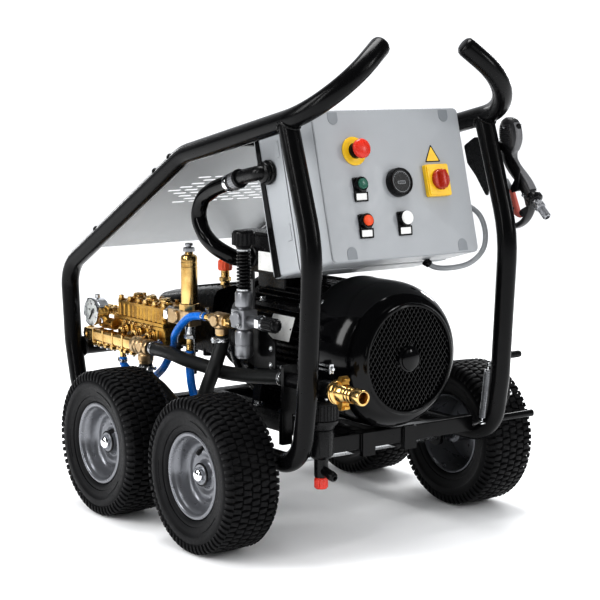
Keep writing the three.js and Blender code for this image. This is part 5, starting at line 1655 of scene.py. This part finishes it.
# ---- hoses and conduit -------------------------------------------------------------------------
SUCTION_ROUTE = [(-185.4, -230, 358), (-165, -230, 358), (-108, -230, 357), (-45, -228, 350), (29, -219, 344),
                 (75, -212, 339), (186, -212, 346), (296, -214, 359), (325.6, -214, 360)]
RETURN_ROUTE = [(105, -230, 424.6), (105, -230, 410), (102, -246, 360), (74, -246, 315), (37, -238, 272),
                (-12, -224, 243), (-60, -222, 236), (-110, -222, 243), (-165, -223, 267), (-207, -228, 286),
                (-215, -230, 302), (-215, -230, 317.6)]
BYPASS_ROUTE = [(43.6, -230, 458), (26, -230, 458), (-16, -234, 451), (-50, -234, 431), (-95, -225, 399),
                (-128, -206, 372), (-170, -196, 332), (-214, -190, 296), (-262, -192, 272), (-305, -212, 280),
                (-318, -230, 304), (-318, -230, 319.6)]
DRAIN_ROUTE = [(-72, -200, 364.4), (-72, -200, 320), (-70, -193, 268), (-74, -166, 224), (-78, -130, 212),
               (-78, -98.3, 212)]
CONDUIT_ROUTE = [(110.4, -203, 757), (74, -203, 748), (30, -202, 734), (-13, -200, 710), (-29, -200, 674),
                 (-16, -198, 640), (12, -190, 612), (34, -172, 594), (45, -154, 584), (45, -133.4, 584)]


def hose(name, route, radius, look, slot):
    form = Form()
    path = flowing(route, 10)
    sizes = [radius] * len(path)
    sizes[0] = sizes[-1] = radius - 0.8
    form.tube(path, sizes, look, 36)
    form.piece(name, "frame", slot, [name])
    return path


def along_path(path, distance):
    """The point and direction at a distance from a path's start, or from its end if negative."""
    walk = path if distance >= 0 else path[::-1]
    left = abs(distance)
    for a, b in zip(walk, walk[1:]):
        step = (b - a).length
        if left <= step:
            return a.lerp(b, left / step), (b - a).normalized()
        left -= step
    return walk[-1], (walk[-1] - walk[-2]).normalized()


def hoses():
    suction = hose("suction_hose", SUCTION_ROUTE, 15.5, BLACK_HOSE, "black_hose")
    back = hose("return_hose", RETURN_ROUTE, 15.5, BLACK_HOSE, "black_hose")
    bypass = hose("bypass_hose", BYPASS_ROUTE, 9, BLUE_HOSE, "blue_hose")
    drain = hose("drain_hose", DRAIN_ROUTE, 9.5, BLUE_HOSE, "blue_hose")
    form = Form()
    clamps = [(suction, 9, 15.5, 2.2), (suction, -14, 15.5, 0.4), (back, 9, 15.5, 1.4),
              (back, -9, 15.5, 3.6), (bypass, 9, 9, 1.2), (bypass, -9, 9, 2.6), (drain, 8, 9.5, 2.0),
              (drain, -12, 9.5, 0.5)]
    for path, distance, radius, turn in clamps:
        at, along = along_path(path, distance)
        worm_clamp(form, at, along, radius - 0.1, turn, 9 if radius > 12 else 7)
    form.piece("hose_clamps", "frame", "steel", bevel=0.2)


def conduit():
    """Ribbed conduit from the box down to the motor's terminal box, with its knee and rings."""
    form = Form()
    path = flowing(CONDUIT_ROUTE, 14)
    radii = [17.8 - 0.35 * (k % 2) for k in range(len(path))]
    form.tube(path, radii, GLOSS_BLACK, 40)
    form.piece("cable_conduit", "frame", "black_hose", ["cable_conduit"], crease=60)
    form = Form()
    knee = bent([(228, -192, 783, 0), (228, -214, 783, 14), (164, -209, 772, 60), (112.4, -203, 757.3, 0)], 8)
    form.tube(knee, 15.5, BLACK_PLASTIC, 40)
    socket = (230, 0, 783)
    form.rod(26, 190.4, 199, BLACK_PLASTIC, "-Y", socket, 48, 2)
    form.rod(23, 198, 211, BLACK_PLASTIC, "-Y", socket, 8, 2)
    along = (knee[-1] - knee[-2]).normalized()
    end = knee[-1]
    form.lathe([(15, -38), (19, -38), (21, -32), (15, -32)], BLACK_PLASTIC, along, end, 48, loop=True)
    form.lathe([(0, -9), (19.6, -9), (20, -6), (20, -1), (19, 0), (0, 0)], BLACK_PLASTIC, along, end, 48)
    form.piece("conduit_gland", "frame", "black_plastic", ["conduit_gland"], bevel=0.5, crease=50)
    form = Form()
    ribbed(form, ZINC, 20.4, -30, -9, 26, 0.8, along, end)
    for distance, half in ((10, 6), (-9, 5)):
        at, way = along_path(path, distance)
        form.lathe([(17.6, -half), (19.2, -half), (19.6, 1 - half), (19.6, half - 1), (19.2, half),
                    (17.6, half)], CHROME, way, at, 56, loop=True)
    form.piece("conduit_rings", "frame", "chrome")
    form = Form()
    form.rod(5, 363, 380, BLACK_PLASTIC, "Z", (-100, -212, 0), 24)
    form.rod(6.5, 306, 330, BLACK_PLASTIC, "Z", (-92, -176, 0), 24)
    form.rod(4.2, 330, 421, STEEL, "Z", (-92, -176, 0), 24)
    form.piece("thermal_relief_stub", "frame", "steel")


hoses()
conduit()


# ---- spray gun, holder and parking brake -------------------------------------------------------
GUN_MID = middle("spray_gun").y
HOLDER_FACE = FRAME_Y + TUBE_R + 0.3


def sweep(form, stations, thickness, look, corner=0.75, steps=6, sides=36):
    """A soft-cornered bar in the gun's mid-plane through (x, z, half width) stations."""
    path = flowing(stations, steps)
    rings = []
    for k, spot in enumerate(path):
        along = (path[min(k + 1, len(path) - 1)] - path[max(k - 1, 0)])
        out = Vector((along.y, 0, -along.x)).normalized()
        half = thickness(spot.z)
        ring = []
        for c, d in circle(1.0, sides):
            across = math.copysign(abs(c) ** corner, c) * spot.z
            deep = math.copysign(abs(d) ** corner, d) * half
            ring.append(Vector((spot.x, GUN_MID, spot.y)) + out * across + AXIS["Y"] * deep)
        rings.append(ring)
    form.capped(rings, look)
    return path


def outer_edge(path, lift=0.0):
    """Points along the outer edge of a swept bar."""
    edge = []
    for before, spot, after in zip(path, path[1:], path[2:]):
        along = after - before
        out = Vector((-along.y, 0, along.x)).normalized()
        edge.append(Vector((spot.x, GUN_MID, spot.y)) + out * (spot.z + lift))
    return edge


def spray_gun():
    """Hand gun: swept body and guard, a pale grey back strip that paints the highlight on the back edge,
    cheek plates, screws, outlet ring and thread.
    """
    body = [(424, 893, 5), (425, 887, 18), (428, 868, 27), (431, 845, 27), (426, 820, 19), (430, 801, 15.5),
            (444, 783, 14.5), (465, 765, 14.5), (484, 745, 15.5), (496, 724, 15), (496, 707, 10),
            (494, 700, 4)]
    guard = [(499, 716, 7), (496, 697, 6), (482, 676, 6), (462, 663, 6), (443, 659, 6), (430, 663, 5.5),
             (424, 670, 4.5), (422, 675, 3)]
    form = Form()
    path = sweep(form, body, lambda half: 7.5 + 0.36 * half, GUN_PLASTIC)
    sweep(form, guard, lambda half: 10.5, GUN_PLASTIC)
    lug = [(470, 692, 5), (480, 699, 4), (495, 706, 2), (492, 688, 2), (478, 681, 6)]
    for near in (GUN_MID - 11, GUN_MID + 8):
        form.slab(rounded(upright(lug), 2, 6), near, near + 3, GUN_PLASTIC, "Y")
    form.piece("spray_gun", "spray_gun", "black_plastic", ["spray_gun"], crease=50)
    form = Form()
    # painted highlight: a pale grey strip along the gun's back edge
    highlight_strip = [(p.x, p.z, 3.4) for p in outer_edge(path, -2.6)[8:-14:3]]
    sweep(form, highlight_strip, lambda half: 9.5, EDGE_HIGHLIGHT_GREY)
    for k in range(8):
        height = 842 + k * 4.6
        for side in (-1, 1):
            y = GUN_MID + side * 16.6
            form.tube([Vector((413, y, height)), Vector((444, y, height + 3))], 1.4, GUN_PLASTIC, 10)
    cheek = [(426, 876, 12), (430, 850, 15), (426, 822, 10), (432, 800, 8), (448, 780, 8), (468, 761, 8),
             (484, 740, 9), (490, 728, 6)]
    sweep(form, cheek, lambda half: 15.6 if half > 11 else 14.6, BLACK_PLASTIC, 0.5)
    form.piece("gun_cheeks", "spray_gun", "black_plastic", crease=50)
    form = Form()
    for x, z, reach in ((426, 872, 17), (427, 829, 15.4), (466, 762, 14.2), (488, 729, 14.4)):
        for axis, side in (("Y", 1), ("-Y", -1)):
            form.bolt((x, GUN_MID + side * (reach - 1.4), z), axis, 4.6, STEEL, "socket", False)
    form.rod(7, 448, 456.5, BLACK_PLASTIC, "X", (0, GUN_MID, 874), 28, 1.5)
    form.rod(4.9, GUN_MID - 11, GUN_MID + 11, STEEL, "Y", (478, 0, 690), 24)
    form.piece("gun_screws", "spray_gun", "steel")
    droop = math.radians(42)
    way = Vector((math.cos(droop), 0, -math.sin(droop)))
    at = (506, GUN_MID, 722)
    form = Form()
    form.lathe([(0, -14), (12, -14), (15, -8), (17.6, -2), (17.8, 5), (16.4, 7), (12, 8.6), (0, 9)],
               BLACK_PLASTIC, way, at, 48)
    ribbed(form, BLACK_PLASTIC, 18.4, -3, 5, 16, 1.2, way, at)
    form.piece("gun_outlet_ring", "spray_gun", "black_plastic", crease=50)
    form = Form()
    profile = [(0, 8), (11.6, 8), (11.6, 27), (10, 29)]
    for k in range(10):
        profile += [(7.6, 30 + k * 2.4), (8.9, 31.2 + k * 2.4)]
    form.lathe([*profile, (7.6, 55), (5.2, 56), (4.8, 50), (0, 50)], ZINC, way, at, 40)
    form.rod(13, 13, 24, ZINC, way, at, 6, 1.2)
    form.piece("gun_outlet_thread", "spray_gun", "steel")


def trigger():
    """Two-finger trigger: grey upper blade, red lower blade, and an arm back to its pin."""
    form = Form()
    upper = [(416, 760, 3), (416, 756, 6), (423, 745, 8), (431, 736, 8.6), (432, 733, 8)]
    lower = [(432, 736, 8), (433, 733, 9.2), (440, 717, 9.6), (448, 700, 9.4), (455, 689, 7.6),
             (466, 685, 6.4), (475, 688, 5.6), (479, 690, 3.0)]
    for stations, look in ((upper, SOFT_GREY), (lower, PALE_RED)):
        sweep(form, stations, lambda half: 7.2, look)
    for x, z in ((436, 725), (443, 711), (449, 698)):
        form.rod(2.8, GUN_MID - 7.9, GUN_MID + 7.9, BLACK_PLASTIC, "Y", (x, 0, z), 20)
    form.piece("gun_trigger", "gun_trigger", "red_plastic", ["gun_trigger"], crease=45)


def gun_holder():
    """Flat hook on the outer side of the right frame, with the peg that the gun sits on."""
    face = HOLDER_FACE
    form = Form()
    outline = [(306, 828, 6), (340, 848, 12), (394, 848, 8), (438, 834, 16), (484, 784, 14), (479, 738, 6),
               (461, 733, 5), (458, 745, 4), (469, 760, 8), (470, 776, 10), (431, 821, 14), (392, 834, 8),
               (385, 716, 6), (346, 764, 8), (318, 790, 6)]
    form.slab(rounded(upright(outline), 2, 6), face, face + 4, BLACK_PLASTIC, "Y")
    form.lathe([(0, face), (8, face), (8, face + 5), (7, face + 8), (7, GUN_MID - 2), (5, GUN_MID),
                (0, GUN_MID)], BLACK_PLASTIC, "Y", (466, 0, 743), 36)
    for x, z in ((352, 826), (384, 834)):
        form.bolt((x, face + 4, z), "Y", 6, STEEL, "button")
    form.piece("gun_holder", "frame", "frame_black", ["gun_holder"], bevel=1.0)


def brake():
    """Lever pinned to the right frame, with its shoe bar, its grip and a return spring."""
    y = FRAME_Y + TUBE_R + 2
    x, z = 447.0, 292.0
    form = Form()
    arm = [(x - 12, z - 4, 6), (x - 34, z - 66, 6), (x - 20, z - 72, 5), (x + 12, z - 4, 8),
           (x + 10, z + 92, 8), (x - 8, z + 92, 8)]
    hole = [(x + a, z + b) for a, b in circle(6.5, 32)]
    form.slab(rounded(upright(arm), 4), y, y + 6, FRAME_BLACK, "Y", holes=[upright(hole)])
    form.rod(8, y + 1, y + 108, FRAME_BLACK, "Y", (x - 24, 0, z - 60), 36, 1.5)
    form.piece("brake_lever", "brake_lever", "frame_black", ["brake_lever"], bevel=0.8)
    form = Form()
    form.rod(7, y + 4, y + 46, BLACK_PLASTIC, "Y", (x, 0, z + 84), 36, 2.5)
    for k in range(6):
        form.ring(7.1, 0.7, BLACK_PLASTIC, "Y", (x, y + 14 + k * 5, z + 84), 40, 8)
    form.piece("brake_grip", "brake_lever", "black_plastic")
    form = Form()
    form.rod(6, FRAME_Y + 10, FRAME_Y + 42, STEEL, "Y", (x, 0, z), 32)
    form.rod(10, y + 6.6, y + 10.4, STEEL, "Y", (x, 0, z), 6, 1)
    form.piece("brake_pin", "frame", "steel")
    form = Form()
    inner = FRAME_Y - TUBE_R - 9
    for at in ((x + 6, 0, z + 70), (x - 14, 0, z - 62)):
        form.rod(4, inner - 3, FRAME_Y - TUBE_R + 4, STEEL, "Y", at, 24)
    top, bottom = Vector((x + 5, inner, z + 64)), Vector((x - 12, inner, z - 56))
    along = (bottom - top).normalized()
    side = along.orthogonal().normalized()
    up = along.cross(side)
    turns = 30
    coil = []
    for k in range(turns * 16 + 1):
        share = k / (turns * 16)
        turn = 2 * math.pi * k / 16
        centre = top.lerp(bottom, 0.06 + 0.88 * share)
        coil.append(centre + side * 6.2 * math.cos(turn) + up * 6.2 * math.sin(turn))
    form.tube(coil, 1.5, ZINC, 8)
    for start, end in ((top, bottom), (bottom, top)):
        form.tube([start, start.lerp(end, 0.08)], 1.5, STEEL, 10)
    form.piece("brake_spring", "frame", "steel")


spray_gun()
trigger()
gun_holder()
brake()


# ---- floor and studio light --------------------------------------------------------------------
FLOOR_HALF = 14.0
WHERE_BRIGHT = (-0.81, 0.58, 0.0)     # the side of the room that gloss mirrors brightly
LIT_POINT = (0, 0, 0.45)
PANELS = [                            # name, place, width, height, power in watts
    ("key", (-0.9, -3.1, 2.3), 1.0, 2.2, 62),
    ("strip", (0.9, -3.3, 1.9), 0.22, 2.4, 30),
    ("front", (3.5, 0.9, 2.1), 0.8, 1.4, 4),
    ("side", (-4.0, 0.1, 1.2), 0.5, 1.6, 18),
    ("top", (-0.2, 0.2, 3.4), 1.8, 1.2, 84),
    ("back", (-1.4, 2.9, 1.9), 0.5, 1.8, 30),
    ("right", (3.0, 1.9, 1.7), 0.4, 0.9, 18),
]


def floor():
    look = Look("studio_floor", Specular_IOR_Level=0.0)
    look.base(look.colour(look.grain(0.4), [(0.3, (0.885, 0.89, 0.89)), (0.7, (0.90, 0.90, 0.90))]))
    look.rough(look.grain(3.0), 0.5, 0.6)
    mesh = bpy.data.meshes.new("floor")
    corners = [(x * FLOOR_HALF, y * FLOOR_HALF, 0) for x, y in ((-1, -1), (1, -1), (1, 1), (-1, 1))]
    mesh.from_pydata(corners, [], [(0, 1, 2, 3)])
    mesh.materials.append(look.material)
    made = bpy.data.objects.new("floor", mesh)
    bpy.context.scene.collection.objects.link(made)


def panel_light(name, at, width, height, power):
    data = bpy.data.lights.new(name, "AREA")
    data.shape = "RECTANGLE"
    data.size, data.size_y = width, height
    data.energy = power
    made = bpy.data.objects.new(name, data)
    made.location = at
    made.rotation_mode = "QUATERNION"
    made.rotation_quaternion = (Vector(LIT_POINT) - Vector(at)).to_track_quat("-Z", "Y")
    bpy.context.scene.collection.objects.link(made)


def studio():
    """An even white room, dim where gloss mirrors it, with soft panels."""
    world = bpy.data.worlds.new("studio")
    bpy.context.scene.world = world
    world.use_nodes = True
    nodes, links = world.node_tree.nodes, world.node_tree.links
    room = nodes["Background"]
    room.inputs["Color"].default_value = (0.97, 0.98, 1.0, 1)
    room.inputs["Strength"].default_value = 1.2
    mirrored = nodes.new("ShaderNodeBackground")
    mirrored.inputs["Color"].default_value = (0.95, 0.97, 1.0, 1)
    heading = nodes.new("ShaderNodeTexCoord")
    facing = nodes.new("ShaderNodeVectorMath")
    facing.operation = "DOT_PRODUCT"
    facing.inputs[1].default_value = WHERE_BRIGHT
    glow = nodes.new("ShaderNodeMapRange")
    for socket, value in (("From Min", 0.35), ("From Max", 0.8), ("To Min", 0.07), ("To Max", 1.0)):
        glow.inputs[socket].default_value = value
    links.new(heading.outputs["Generated"], facing.inputs[0])
    links.new(facing.outputs["Value"], glow.inputs["Value"])
    links.new(glow.outputs["Result"], mirrored.inputs["Strength"])
    ray = nodes.new("ShaderNodeLightPath")
    mix = nodes.new("ShaderNodeMixShader")
    links.new(ray.outputs["Is Glossy Ray"], mix.inputs["Fac"])
    links.new(room.outputs["Background"], mix.inputs[1])
    links.new(mirrored.outputs["Background"], mix.inputs[2])
    links.new(mix.outputs["Shader"], nodes["World Output"].inputs["Surface"])
    for panel in PANELS:
        panel_light(*panel)


floor()
studio()
view = bpy.context.scene.view_settings
view.view_transform = "Standard"
view.gamma = 0.86
